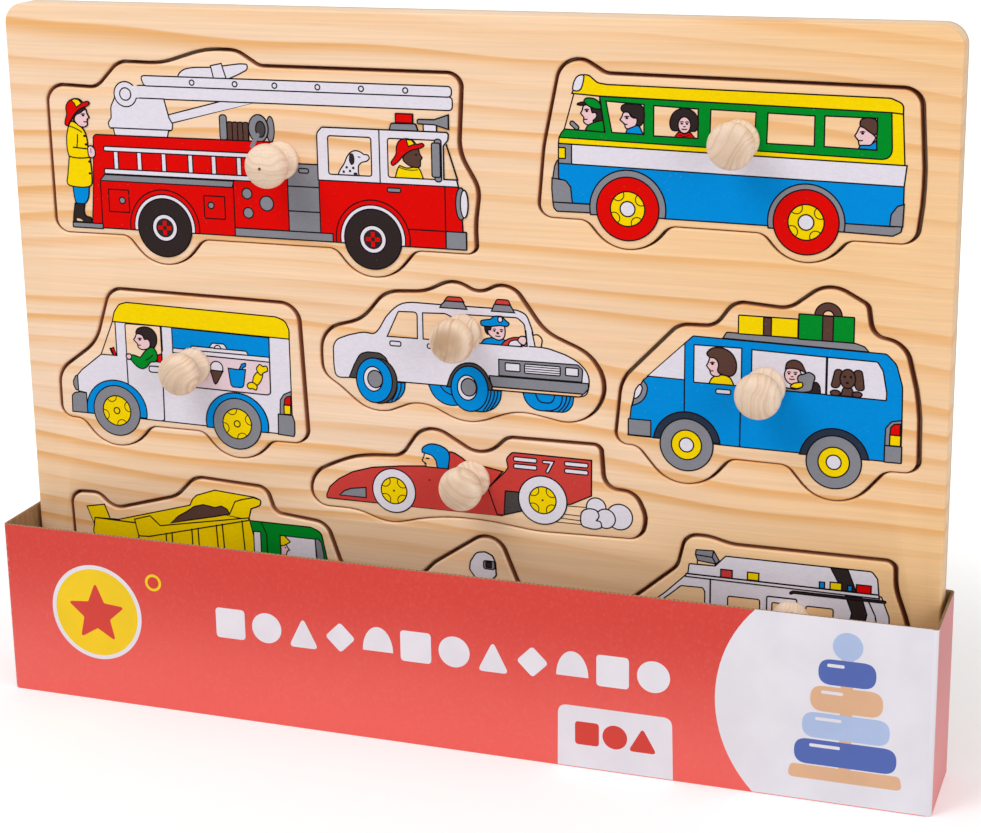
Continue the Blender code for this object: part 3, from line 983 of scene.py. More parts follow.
    def spokes(self, middle, inner, outer, count):
        for way in circle(Vector((0.0, 0.0)), 1.0, count):
            self.line(Vector(middle) + way * inner, Vector(middle) + way * outer, width=0.25)

    def finish(self, name, body, slot, make_ink):
        """Close the drawing as one piece that rides on a body."""
        bmesh.ops.recalc_face_normals(self.bm, faces=self.bm.faces)
        add_piece(name, self.bm, [make_ink(ink_name) for ink_name in self.inks], body)


def print_fire_engine(pen):
    """Ladder engine facing right, its ladder folded over the roof."""
    pen.soft("white", (60.2, 21.6, 0), (60.8, 20.2), (62.6, 18.8), (66, 18.2), (72, 18), (81.9, 16.6),
             (84.4, 16.7), (84.2, 18.4), (81, 20), (77.2, 21.6, 0))
    pen.shape("white", (71.8, 17.5), (75.5, 16.7), (77, 21.5), (72.7, 21.5))
    pen.shape("white", (55, 33.7, 1.2), (75.3, 28.3), (86.9, 28.3), (55.2, 36.5, 1.4))
    pen.box("white", (45.5, 24.4), (151, 28.5), 1.4)
    pen.shape("white", (47.2, 21.3, 1.8), (150.8, 21.3, 1.4), (150.8, 24.5, 1.4), (48.4, 24.5, 1.6))
    for place in (65.1, 79.8, 93.2, 107.5, 121.8, 136.1):
        pen.disc("white", (place, 22.95), 0.8)
    pen.shape("white", (37.9, 28.4), (36.3, 31.5, 2), (36.2, 35), (35, 36.6, 0.9), (35.4, 38.3, 0.9),
              (36.7, 38.4), (37.3, 40.7), (55.6, 40.7), (56.2, 38.4), (57.4, 38.2, 0.9), (57.8, 36.3, 0.9),
              (56.6, 34.4, 0.8), (55.1, 28.4))
    pen.line((36, 38.2), (57, 38.2))
    pen.disc("white", (41.7, 27.35), 3.95)
    pen.shape("white", (43.8, 24.62), (46.6, 24.62), (46.6, 28.28), (45.1, 28.28), (44.4, 28.6), line=0)
    pen.disc("white", (41.7, 27.3), 1.95)
    pen.box("grey", (74, 32.6), (76.4, 40.6), 1.1)
    for place in (76.5, 78.3, 80.1, 81.9):
        pen.box("brown", (place, 34.7), (place + 1.9, 40.6), 0.7)
    pen.disc("grey", (91.2, 36.5), 1.3, 4)
    pen.disc("grey", (87.2, 36.4), 3.3, 4.3)
    pen.disc("dark", (87.9, 36.6), 1.6, 2.5)
    pen.shape("red", (27.1, 70.7), (28.6, 55.3), (29.4, 41.3, 1), (30.3, 40.6, 0.6), (92, 40.4, 0.6),
              (96.4, 47), (96.4, 68.2), (77.8, 68.2), (77.8, 70.7))
    pen.line((86.9, 38.4), (84.8, 42), width=1.3, ink="grey")
    pen.shape("grey", (96.4, 46.8), (107, 46.8), (107, 68.1), (96.4, 68.1))
    pen.line((96.6, 53.9), (106.8, 53.9))
    pen.line((96.6, 61.7), (106.8, 61.7))
    pen.box("grey", (100.3, 48.2), (103.6, 49.6), 0.65)
    pen.line((31, 55.8), (30.9, 70.5))
    pen.line((77.8, 53.3), (77.8, 70.5))
    pen.shape("grey", (32.7, 53.3), (78, 53.3), (77.4, 55.3), (31, 55.3))
    for place in (37.1, 45.4, 54, 63.3, 71.4, 80.1):
        pen.box("white", (place - 0.8, 44.8), (place + 0.8, 52.6))
    pen.box("white", (32.9, 44.2), (86, 45.7), 0.7)
    pen.box("white", (32.7, 51.4), (85, 53), 0.7)
    for left, top, knob in ((33.7, 58, 38.5), (67.4, 58.4, 69.8)):
        pen.box("red", (left, top), (left + 7.2, top + 7.2), 0.2)
        pen.disc("grey", (knob, 61.4), 1.05)
    pen.disc("grey", (82.4, 57), 1.7)
    pen.disc("grey", (82.6, 63.1), 1.7)
    pen.disc("grey", (89, 59.8), 2.35)
    pen.shape("red", (107, 51.5), (148.2, 51.5), (148.2, 70.7), (107, 70.7))
    pen.shape("red", (148.2, 51.5), (152.4, 51.5), (153.3, 56), (153.7, 65.3), (148.2, 65.3))
    pen.line((136.5, 65.3), (148.2, 65.3))
    pen.shape("white", (106.8, 51.5), (106.8, 36.9, 2.5), (108.5, 35.1, 0.8), (149.7, 35.1, 1.5),
              (149.4, 37.4, 1), (147.9, 39.2, 0.6), (147.9, 49.4), (152, 49.4), (152.5, 51.5))
    pen.box("wood", (110.4, 37.6), (124.6, 49.5), 0.9)
    pen.box("wood", (130, 37.6), (147.3, 49.5), 0.9)
    pen.line((127.3, 35.2), (127.3, 51.5))
    pen.line((148.9, 38.8), (152.3, 49.4))
    pen.box("grey", (129.5, 52.8), (133.9, 54.1), 0.6)
    pen.box("grey", (148.3, 65.3), (154.8, 70.7), 0.2)
    pen.box("grey", (77.8, 68.1), (111.1, 70.7), 0.1)
    pen.box("grey", (20.1, 69.4), (31, 71), 0.1)
    pen.disc("grey", (153.2, 56.6), 1.6, 4.9)
    pen.disc("white", (154.3, 56.6), 1.2, 4.2)
    pen.shape("grey", (130.7, 35), (131.3, 33, 0.8), (139.2, 32.9, 0.8), (139.9, 35))
    pen.box("red", (132.8, 30), (138.3, 32.7), 0.1)
    pen.box("white", (141.7, 32.7), (145.9, 35))
    pen.shape("grey", (139.8, 31.5, 0.5), (145.2, 31.4), (149.7, 29.8), (149.7, 34.1), (145.2, 32.9),
              (139.8, 32.8, 0.5))
    pen.disc("grey", (146.2, 38), 1.1, 0.8)
    pen.disc("grey", (146.2, 49.3), 1.1, 0.9)
    pen.box("grey", (144.2, 38.4), (146.9, 48.8), 0.7)
    pen.soft("white", (113.5, 49.5, 0), (114.3, 47.7), (115.6, 46.2), (116.5, 43.9), (117.8, 42.3),
             (119.6, 41.7), (121.4, 42.3), (122.2, 43), (123.5, 42.9), (124.1, 44), (123.1, 45),
             (121.4, 45.3), (120.3, 46.3), (120.2, 48), (120.4, 49.5, 0))
    pen.soft("black", (117.4, 42.8), (118.6, 42.6), (119.2, 44.2), (118.9, 45.9), (118, 46.5),
             (117.2, 45.3), line=0)
    pen.line((120.3, 43.7), (120.9, 43.8), width=0.34)
    pen.dot((119.3, 49), 0.7, 0.45, ink="black")
    for spot in ((115.4, 48.5), (116.4, 47.1), (117.5, 48.2), (118.6, 47.2)):
        pen.dot(spot, 0.42, ink="black")
    pen.soft("yellow", (132.3, 49.5, 0), (132.9, 47.3), (133.7, 45.7, 0.5), (136, 46.6), (139.4, 45.8, 0.5),
             (140.4, 46.8), (141.4, 49.5, 0))
    pen.curve((133.6, 46.3), (136.3, 47.4), (139.6, 46.8), width=0.28)
    pen.soft("brown", (134.6, 43.9), (135.6, 42), (138.4, 40), (140.1, 40.2), (140.2, 41.8),
             (141.2, 43.1, 0.3), (140.6, 43.8, 0.2), (140.5, 45.9), (139.2, 46.2), (137, 45.8))
    pen.dot((139.2, 42.2), 0.35)
    pen.soft("red", (130.9, 45), (132.9, 42.4), (132.8, 40.1), (133.8, 38), (136.4, 37.3), (138.6, 38.1),
             (139.3, 39.2), (141.2, 38.6), (142, 39.3), (140.8, 40.2), (137.9, 40.7), (135.2, 42.4),
             (133.3, 44.7), (131.5, 46))
    pen.shape("yellow", (136.1, 37.7), (137.9, 37.8, 0.5), (138.9, 39), (136.8, 39.8))
    pen.soft("blue", (20.9, 57.2, 0), (21.2, 61), (21.7, 63.3), (24.6, 63.6), (26.4, 61.4), (26.8, 57.2, 0))
    pen.soft("black", (21.3, 63.2, 0), (24.8, 63.2, 0), (24.3, 66), (25, 67.4), (27, 67.6), (26.8, 69.3, 0),
             (20.3, 69.3, 0), (20.6, 66.8))
    pen.soft("wood", (21.6, 68.1), (22.8, 68.2), (24.1, 68.9), (21.6, 68.9), line=0)
    pen.soft("yellow", (20.8, 38), (19.8, 41.5), (19.7, 45.6), (20.3, 48.2, 0.3), (19.4, 54), (18.7, 57.2),
             (21.5, 57.8), (25.2, 57.9), (27.9, 57.2), (28.1, 53), (27.8, 48.5, 0.3), (27.2, 45),
             (27.2, 42), (26.1, 38.9), (23.8, 37.4), (21.9, 36.4))
    pen.soft("skin", (27.1, 44.7), (28.4, 44.1), (29.8, 45.2), (29.8, 47.4), (28.6, 48.3), (27.3, 47.7))
    pen.line((28.3, 45.2), (28.3, 46.6), width=0.24)
    pen.soft("black", (22.8, 36.8), (22.4, 34.6), (23.6, 33.2), (27.2, 31.9), (26.8, 33.1), (24.4, 34.4),
             (23.8, 36))
    pen.soft("skin", (23.9, 34.3), (25.2, 34), (26.4, 33), (27.4, 32.6, 0.2), (27.6, 34), (28.4, 35.2, 0.2),
             (27.7, 35.7, 0.1), (27.5, 36.6), (27.7, 37.6), (26.5, 38.4), (24.6, 38.2), (23, 36.4),
             (23.2, 35.2))
    pen.profile((26.3, 34.6), (27.4, 36.6), 1)
    pen.soft("red", (19.5, 37.8), (19.8, 36.2), (20.5, 34.6), (20.2, 32), (21.3, 30.2), (23.4, 29.3),
             (25.4, 29.5), (26.4, 30.6), (28.1, 30), (28.9, 30.7), (28, 31.5), (25.2, 32.5), (23.2, 34.2),
             (21.7, 36.4), (20.6, 38.2))
    pen.shape("yellow", (22.4, 29.9), (23.5, 29.4, 0.4), (25, 29.6, 0.5), (26, 30.8), (24.1, 32.1),
              (23.4, 30.8, 0.4))
    pen.curve((20.3, 48), (23.6, 48.8), (27.7, 48))
    pen.curve((20.9, 38.2), (23.2, 38.6), (25.4, 40), width=0.28)
    pen.curve((23.8, 40.9), (23.7, 43.2), (23.3, 45))
    pen.line((22, 45), (27, 45.3))
    for button in ((26.3, 41.2), (26.7, 43.9), (27.5, 49.4), (27.4, 53.2)):
        pen.dot(button, 0.5, 0.4)
    for middle in ((53.2, 69.5), (124.4, 69.1)):
        pen.arch("red", middle, 12.2, 70.7)
        pen.arch("white", middle, 10.7, 70.7)
        pen.discs(middle, black=9.4, white=4.35)
        pen.dot(middle, 3.1, ink="black")
        pen.cross("red", middle, 2.3, 1.25)
        pen.dot(middle, 0.5, ink="black")


def print_bus(pen):
    """Coach facing left with a band of windows."""
    pen.shape("wood", (188.8, 22), (196.6, 22.6), (198.1, 33), (185.8, 32.6))
    pen.shape("yellow", (184.2, 35.1), (196.6, 33), (196.6, 22.6), (281, 24.2), (284.1, 24.5), (285, 38.9),
              (184, 36.9))
    pen.shape("green", (196.6, 22.6), (280.9, 24.2), (281.5, 37.5, 3.2), (184.2, 35.1), (184.8, 33.9),
              (185.8, 32.6), (198.2, 33))
    pen.shape("yellow", (188.2, 22), (188.7, 20.8), (191.3, 19), (191.6, 16.5, 0.4), (193.3, 16.5, 2),
              (195.9, 18.7, 3), (198.8, 19.1, 3), (280.6, 20.2, 3), (284.1, 21.7, 3), (284.1, 24.5),
              (281, 24.2), (196.6, 22.5))
    pen.shape("white", (188, 37), (285.6, 38.9), (285, 44.9), (188, 42.9))
    pen.shape("grey", (184, 36.9), (188, 37), (188, 42.9), (184, 42.8))
    pen.box("yellow", (184, 38.1), (186.1, 41.3), 0.2)
    pen.shape("blue", (184, 42.8), (285, 44.9), (285, 56.3), (268.1, 56.3), (267.3, 58.3), (216.1, 57.7),
              (213.5, 56.5), (193.6, 54.5), (188.2, 54.5), (187.7, 49.6), (184, 47.2))
    pen.shape("grey", (183.9, 41.3, 0.5), (184, 47.5), (182.2, 47.4), (182.8, 43.7, 0.8))
    pen.shape("grey", (182, 47.3), (186.2, 47.8, 1.5), (187.7, 49.8, 1), (188.2, 54.5), (182.2, 54.5),
              (181.9, 50.5))
    pen.shape("grey", (182.2, 54.5), (194.1, 54.6), (193.8, 57.1), (183.4, 57.2, 0.8), (182.5, 56.2))
    pen.shape("grey", (268.7, 56.2), (281.6, 56.4), (284.9, 56.2), (284.6, 57.9, 0.8), (282.3, 59.1, 0.8),
              (268.7, 58.7))
    pen.shape("grey", (281.4, 56.3), (281.7, 52.9, 1.5), (283.4, 50.5, 1), (285.2, 49.9), (285, 56.3))
    pen.soft("white", (188.3, 21.2), (188.8, 18.4), (190, 16.7), (191.9, 16.4), (191.8, 18), (191.1, 20.5),
             (190.2, 21.3))
    pen.shape("wood", (198.5, 23.9), (209.9, 24.5), (209.9, 33.2), (200.3, 33))
    pen.shape("wood", (212.8, 24.7), (225.9, 25.2), (225.9, 33.7), (212.8, 33.5))
    pen.shape("wood", (229.6, 25.2), (242.7, 25.5), (242.4, 34.3), (229.4, 33.9))
    pen.shape("wood", (246.1, 25.6), (259.5, 25.9), (259.5, 34.5), (245.9, 34.3))
    pen.shape("wood", (262.3, 25.8), (277, 25.9), (277, 34.9), (262.3, 34.5))
    pen.stroke("grey", 1.3, (188.2, 30.8), (189.6, 32))
    pen.soft("black", (193.4, 25.4), (196.8, 25.9), (197.3, 27.6), (197.6, 29.9), (195.6, 30.4),
             (194.6, 29.2), (195.9, 28), (194, 27.4))
    pen.soft("skin", (191.6, 25.3), (193.4, 25.2), (194, 26.2), (194.3, 27.6), (195.2, 27.2), (195.9, 28.2),
             (195.2, 29.3), (194.6, 29.6), (194.7, 30.7), (193.2, 31.2), (191.7, 30.5), (191.8, 28.9, 0.1),
             (190.8, 27.7, 0.2), (191.4, 26.8))
    pen.profile((192.7, 27), (191.8, 29.4), -1)
    pen.soft("black", (189.4, 25.2), (191, 24.4), (193.4, 24.6), (191.2, 25.5))
    pen.soft("green", (191.7, 24.2), (192.4, 23.2), (194.8, 23.2), (196.6, 24.3), (197.2, 26.2),
             (195.8, 26.4), (193.2, 25.6))
    pen.soft("green", (192.2, 32.7, 0), (193, 31.2), (194.8, 30.3), (197.6, 29.5, 0.2), (198.1, 33, 0))
    pen.soft("black", (202.9, 26.2), (203.3, 24.9), (204.9, 24.4), (206.4, 24.6), (208, 24.3),
             (209.7, 25.2), (210, 27.2, 0), (209.9, 29.4, 0), (208.7, 31), (207.3, 30.6), (207.9, 28.6),
             (206.3, 28.2), (205.7, 27), (204, 27.2))
    pen.soft("skin", (203.7, 26.9), (205.4, 26.8), (206, 28.2), (207, 28.6), (207.8, 28.5), (207.9, 29.7),
             (207.3, 31), (205.9, 31.9), (204.3, 31.6), (204.2, 30.4, 0.1), (202.7, 29.2, 0.2),
             (203.4, 28.2))
    pen.profile((204.8, 28.6), (203.9, 30.4), -1)
    pen.shape("blue", (204.5, 33), (204.9, 31.9, 0.4), (207.9, 30.6, 0.8), (208.6, 31, 0.4), (209.7, 33.2))
    pen.soft("black", (218.1, 31.9), (217.4, 29.4), (218.4, 26.6), (220.6, 25.2), (223, 25.1),
             (225.4, 26.6), (226.2, 29.4), (225.4, 31.9), (222, 31.4))
    pen.disc("skin", (221.9, 30), 1.85, 2.4)
    pen.shape("red", (219, 33.6), (220.3, 31.9, 0.5), (221.9, 32.6, 0.6), (223.5, 31.9, 0.5), (225, 33.7))
    pen.line((220.4, 32.9), (221.9, 33.4), (223.4, 32.9), width=0.26)
    pen.soft("brown", (272.1, 28.2), (272.3, 26.4), (274.4, 25.7), (276.9, 26.3), (277.1, 28.4, 0),
             (277, 30.2, 0), (276.1, 30.9), (274.6, 29.6), (273.4, 28.7))
    pen.soft("skin", (272.1, 28.3), (273.2, 28.6), (274.7, 29.7), (276.1, 30.6), (276.8, 31.4), (276, 32.6),
             (275.3, 33.9), (272.1, 33.9), (271.9, 32.4, 0.1), (270.8, 31.1, 0.2), (271.6, 29.8))
    pen.profile((273, 30.3), (272, 32.3), -1)
    pen.shape("blue", (272, 34.7), (272.4, 33.7, 0.4), (275.2, 33.6, 0.8), (276.9, 32.2), (277.1, 34.8))
    pen.face((221.9, 29.9), 0.75)
    for middle, outer, floor in (((205.1, 55.4), 11.5, 57.6), ((257.7, 56.5), 11.1, 58.7)):
        pen.arch("grey", middle, outer, floor)
        pen.discs(middle, red=9.45, yellow=5.2)
        pen.scallops(middle, 5, 1.75, 35)
        pen.disc("white", middle, 2.25)


def print_ice_cream_van(pen):
    """Small van facing left with a sales hatch in its side."""
    pen.shape("white", (32.1, 101.7), (94.7, 103), (94.7, 120.2), (94.3, 134.7), (49, 134.1), (20.8, 133.6),
              (20.8, 126.7), (17.9, 126.3), (17.9, 120.9), (19.6, 119, 1), (27.2, 113.1), (33, 113.1),
              (33, 102))
    pen.shape("wood", (32.1, 101.7), (33, 101.8), (33, 113.1), (27.2, 113.1))
    pen.box("wood", (36.6, 102.1), (49.4, 114.1), 0.7)
    pen.shape("yellow", (32.1, 101.7), (32.9, 98.5, 3), (34.9, 95.8, 2), (37.6, 95, 1.5), (90.4, 96.1, 2),
              (93.5, 97.2, 2.5), (94.8, 100.1, 2), (94.7, 103))
    pen.shape("blue", (53.5, 102.3), (87.7, 103.1), (87.6, 109.5), (53.5, 109))
    pen.shape("white", (53.5, 109), (87.6, 109.5), (87.6, 111.1), (53.5, 110.5))
    pen.shape("white", (59.9, 109.2), (60.2, 107.8, 0.3), (79.6, 108.1, 0.3), (80.3, 109.4))
    pen.shape("white", (66.6, 107.8), (67.7, 106.3, 0.8), (71.8, 106.3, 0.8), (73, 108))
    pen.arch("white", (69.6, 108), 1.1, 108)
    pen.shape("pink", (54.7, 110.6), (87.6, 111.1), (87.5, 121.4, 0.8), (86.4, 122, 0.8), (54.7, 121.5))
    pen.disc("white", (68.9, 114.4), 2.2, 2.15)
    pen.shape("brown", (66.6, 115.3), (71.1, 115.4), (68.9, 119.3, 0.5), (68.2, 120, 0.6),
              (67.7, 119.3, 0.5))
    pen.shape("blue", (76.8, 114.5), (77.8, 112.5, 0.3), (79.3, 112, 0.3), (79.1, 113.2, 0.3),
              (78.2, 113.6), (77.9, 114.6))
    pen.shape("blue", (73, 114.2), (76, 114.4), (79.1, 114.2), (78.2, 119.6, 0.8), (77.5, 120.3, 0.6),
              (74.3, 120.3, 0.6), (73.7, 119.6, 0.8))
    pen.soft("yellow", (81.3, 118.4), (81.9, 115.9), (83.6, 114.3), (85.2, 115), (84.6, 117.4),
             (82.9, 119.3))
    pen.soft("yellow", (81.6, 118.2), (83.1, 119.2), (82.6, 120.9), (81.3, 120.2), (80, 120.6),
             (79.3, 119.2), (80.4, 118.3))
    pen.soft("yellow", (83.5, 115), (82.8, 113.5), (84.2, 111.9), (85.1, 112.8), (86.6, 112.3), (87, 114.2),
             (85.4, 114.6), (84.6, 115.8))
    pen.line((36.5, 114.1), (36.5, 122.4))
    pen.line((49.4, 102.3), (49.4, 114.2), (49.1, 133.6), (48.2, 134))
    pen.box("white", (44.5, 115.7), (48.5, 117.7), 0.9)
    pen.line((49.7, 102.3), (49.7, 110.3))
    pen.line((53.5, 109), (53.5, 111.8))
    pen.soft("black", (40.3, 105.3), (40.8, 103.6), (43.2, 102.6), (46, 102.9), (47.9, 104.9),
             (47.9, 107.8), (46.6, 109.8), (45.2, 109), (45.2, 107), (43.9, 106.8), (43.4, 107.2),
             (42.9, 105.5), (41.6, 105))
    pen.soft("skin", (40.5, 105.3), (41.6, 105.1), (42.9, 105.6), (43.4, 107.1), (44.6, 106.6),
             (45.4, 107.6), (45.4, 109.2), (44.2, 110.1), (42.4, 110.5), (41, 109.8), (40.8, 108.5, 0.1),
             (39.5, 107.3, 0.2), (40.2, 106.3))
    pen.profile((41.8, 107.1), (40.9, 108.9), -1)
    pen.shape("red", (47.8, 111.9), (49.4, 111.3), (49.4, 114.1), (47.7, 114.1))
    pen.soft("green", (44.4, 109.9), (46.2, 109.1), (47.5, 110.6), (47.9, 112.9), (47, 114.2),
             (45.1, 114.2), (43.9, 116.1), (42, 117), (39.9, 116.1), (38, 113.9), (38.3, 112.3),
             (40.2, 112.7), (41.6, 113.2), (42.9, 111.4))
    pen.curve((46.1, 112), (45, 113.2), (43.6, 113.8))
    pen.soft("skin", (36.4, 112.4), (37.9, 112.1), (38.6, 113), (37.8, 114.1), (36.6, 113.8))
    pen.shape("red", (30.9, 110.9), (32, 110.4), (32.8, 113.1), (31.7, 113.1))
    pen.line((30.8, 111), (31.5, 112.5), width=0.8)
    pen.shape("grey", (17.9, 120.9), (17.1, 121.3, 0.4), (16.2, 123, 0.8), (16.2, 124.5, 0.8),
              (17, 126, 0.4), (17.9, 126.1))
    pen.shape("grey", (15.2, 133.6), (15.4, 128, 1), (16.5, 127, 1), (18.4, 126.6), (20.8, 126.8),
              (20.8, 133.6))
    pen.shape("grey", (90.5, 128.1), (90.8, 123.3, 1), (92.1, 121.4, 1), (94.7, 120.2), (94.7, 128.1))
    pen.shape("red", (92.1, 124.8), (92.3, 123.1, 0.5), (93, 122.2, 0.5), (94.4, 121.8), (94.4, 124.8))
    pen.shape("yellow", (92, 124.9), (94.3, 124.9), (94.2, 127.9), (92, 127.9))
    pen.shape("grey", (89.9, 128.1), (94.8, 128.1, 0.5), (95.5, 130.4, 1), (95.4, 134, 0.6),
              (95.1, 135.1, 0.3), (89.7, 134.8))
    for middle, floor in (((31.8, 131.9), 133.6), ((75.3, 132.6), 134.6)):
        pen.arch("blue", middle, 11, floor, 10.3)
        pen.discs(middle, grey=8.5, yellow=5.05)
        pen.scallops(middle, 5, 1.75, 20)
        pen.disc("yellow", middle, 1.05)


def print_police_car(pen):
    """Saloon car seen from its front corner, facing right."""
    pen.soft("blue", (171.9, 113, 0), (172.9, 117.1), (176, 119.4), (181, 119.4), (185.9, 119.3),
             (188, 117), (188.4, 113, 0))
    pen.soft("blue", (141, 113, 0), (142.8, 117.6), (146.4, 120), (150, 120.3), (153, 119, 0),
             (153, 113, 0))
    pen.curve((184.7, 114), (184.7, 117.2), (181.2, 119.4), (179.4, 119.2))
    pen.curve((186.1, 114), (186, 117.2), (183.4, 119.2))
    pen.curve((187.3, 114), (187, 116.9), (184.9, 118.9))
    pen.curve((176.2, 114.2), (176.9, 116.6), (179.4, 116.9), (181.9, 116.5), (182.3, 114.2))
    pen.curve((145.4, 114.2), (146.5, 116.4), (149.2, 116.8))
    pen.soft("white", (110.3, 114.2), (109.8, 110), (109.8, 104), (111, 101.8), (115.2, 100.1),
             (120.4, 98.7), (123.8, 99.3), (125.6, 97.2), (127.8, 93.4), (130.6, 90.4), (133.4, 88.6),
             (136.6, 88.2), (145.7, 88.3, 0), (166, 88.3, 0), (170.8, 88.3), (173.6, 89.6), (175.3, 94.2),
             (176.2, 99.2, 0.6), (180.6, 99.7), (185.8, 101.2), (190.2, 103.3), (193, 106.6),
             (193.3, 110.4), (192.3, 113.6), (189, 114.1, 0), (115, 113.9, 0))
    pen.shape("wood", (128.1, 99.6), (132, 91.4, 0.7), (138.2, 91.2, 1.3), (138.1, 99.6))
    pen.shape("wood", (140, 91.3), (147.4, 91, 2), (149.7, 92, 1.2), (149.8, 99.6), (140, 99.6))
    pen.shape("wood", (151.7, 93), (152, 91.5, 1.2), (154.2, 90.9, 1), (170.6, 90.7, 1.8), (172.9, 92.6, 2),
              (173.6, 99.4), (151.7, 99.6))
    pen.soft("wood", (174.4, 99.4, 0), (174.9, 96.2), (176.9, 95.3), (178.6, 96.8), (178.1, 99.4, 0))
    pen.shape("white", (173.9, 95.6), (175.5, 95.6), (176.3, 99.2), (174, 99.2), line=0)
    pen.line((173.3, 94.6), (173.7, 99.3))
    pen.line((175.3, 94.9), (176.2, 99.2))
    pen.soft("blue", (158.9, 99.6, 0), (159.8, 98.2), (162.5, 97.4), (164.6, 98.2), (166.4, 97.5),
             (166.9, 99.6, 0))
    pen.soft("skin", (160.8, 93.8, 0), (166.5, 93.4, 0), (166.8, 95.4), (166.4, 97.4), (164.8, 98.3),
             (162.6, 97.6), (161, 96))
    pen.soft("black", (160.1, 93.7, 0), (162.3, 93.9, 0), (162, 95.3), (161.1, 94.9), (161.3, 96.8),
             (160.3, 95.8))
    pen.soft("blue", (159, 93.9), (158.8, 92.4), (160.6, 92), (162.2, 91.8), (163.1, 90.7), (165.9, 90.6),
             (166.7, 91.7), (168.2, 92.7), (167.4, 93.7), (164.9, 93.4), (162, 94.1))
    pen.disc("white", (165.2, 91.6), 0.75, 0.9)
    pen.face((164.4, 95.6), 1.15)
    pen.dot((164.3, 95.9), 0.45, 0.4)
    pen.soft("crimson", (165.4, 99.6, 0), (166.6, 98.1), (169, 96.9), (171.8, 96.8), (170.6, 97.8),
             (168.6, 98.4), (167.5, 99.6, 0))
    pen.soft("white", (167.6, 99.6, 0), (168.2, 98.2), (170.2, 97.5), (171.6, 98.3), (171.9, 99.6, 0))
    pen.soft("skin", (170.6, 97.8), (171.4, 96.4), (173.2, 96.3), (173.7, 97.8), (172.9, 99.2),
             (171.6, 98.8))
    for left, right in (((128.9, 101), (132.6, 102.5)), ((141.3, 101), (145, 102.4))):
        pen.box("white", left, right, 0.75)
    pen.shape("crimson", (147.2, 87), (148.2, 85.6, 1.2), (152.6, 85.6, 1.2), (153.5, 87))
    pen.shape("grey", (145.7, 89.2), (146.4, 88, 0.6), (147.6, 87, 0.5), (153.2, 87, 0.5), (154.5, 89.2))
    pen.shape("crimson", (163.4, 87), (164.1, 85.4, 1), (167.8, 85.4, 1), (168.5, 87))
    pen.shape("grey", (162.4, 89.2), (163.3, 87, 0.5), (168.4, 87, 0.5), (169.8, 89.2))
    pen.shape("grey", (164.5, 104.2), (189.6, 104, 1), (191.2, 105.4, 1), (190.9, 109.3), (164.5, 109.3))
    pen.box("white", (166.6, 105.1), (171.3, 107.6), 0.25)
    pen.box("white", (185.8, 105.1), (189.8, 107.6), 0.25)
    pen.box("white", (172.8, 105), (184.1, 107.9), 0.5)
    for top in (105.7, 106.45, 107.2):
        pen.line((173.2, top), (183.8, top), width=0.3)
    pen.shape("grey", (161.4, 109.6), (192.9, 109.6), (193, 111.3, 1.5), (191.5, 113, 0.8), (162.4, 113),
              (161.8, 111.5))
    pen.shape("wood", (162.4, 113.1), (191.3, 113.1), (190.2, 114), (162.2, 114))
    pen.shape("dark", (114.9, 113.8), (116.7, 109.6, 3), (118.8, 105.9, 4), (121.4, 105.1, 3),
              (125.5, 105.2, 3), (127.4, 106.5, 3), (129.4, 110.6, 4), (130.9, 114.2))
    pen.soft("dark", (147.5, 114.2, 0), (148.7, 110.4), (150.9, 107.4), (153.6, 106.1), (156.9, 106),
             (160.1, 108.2), (162.3, 112.8, 0), (162.2, 114.2, 0))
    pen.soft("blue", (126.7, 114.2, 0), (133.6, 114.2, 0), (133.4, 116.9), (131.5, 119.6), (128.9, 121),
             (126.3, 121.2, 0))
    pen.curve((131, 114.4), (131.4, 117.2), (129, 120.4))
    pen.curve((132.3, 114.4), (132.5, 117.2), (130.2, 120.2))
    pen.disc("dark", (124.9, 114.25), 6.1, 7.25)
    pen.soft("blue", (156, 114.2, 0), (165.2, 114.2, 0), (164.9, 117.2), (163, 119.9), (159.9, 121.4),
             (156.4, 121.3, 0))
    pen.curve((161.9, 114.4), (162, 117.6), (159.2, 121.1))
    pen.curve((163, 114.4), (163.2, 117.4), (160.4, 120.8))
    pen.curve((164.1, 114.4), (164.2, 117.2), (161.6, 120.4))
    for middle, hub, cap in (
        ((123.4, 114.15), (123, 113.7), (123.7, 113.7)), ((154.95, 114.3), (154.2, 114), (154.7, 113.8)),
    ):
        pen.disc("blue", middle, 6, 7.2)
        pen.disc("white", hub, 3.2, 4)
        pen.disc("grey", cap, 2.5, 2.8)


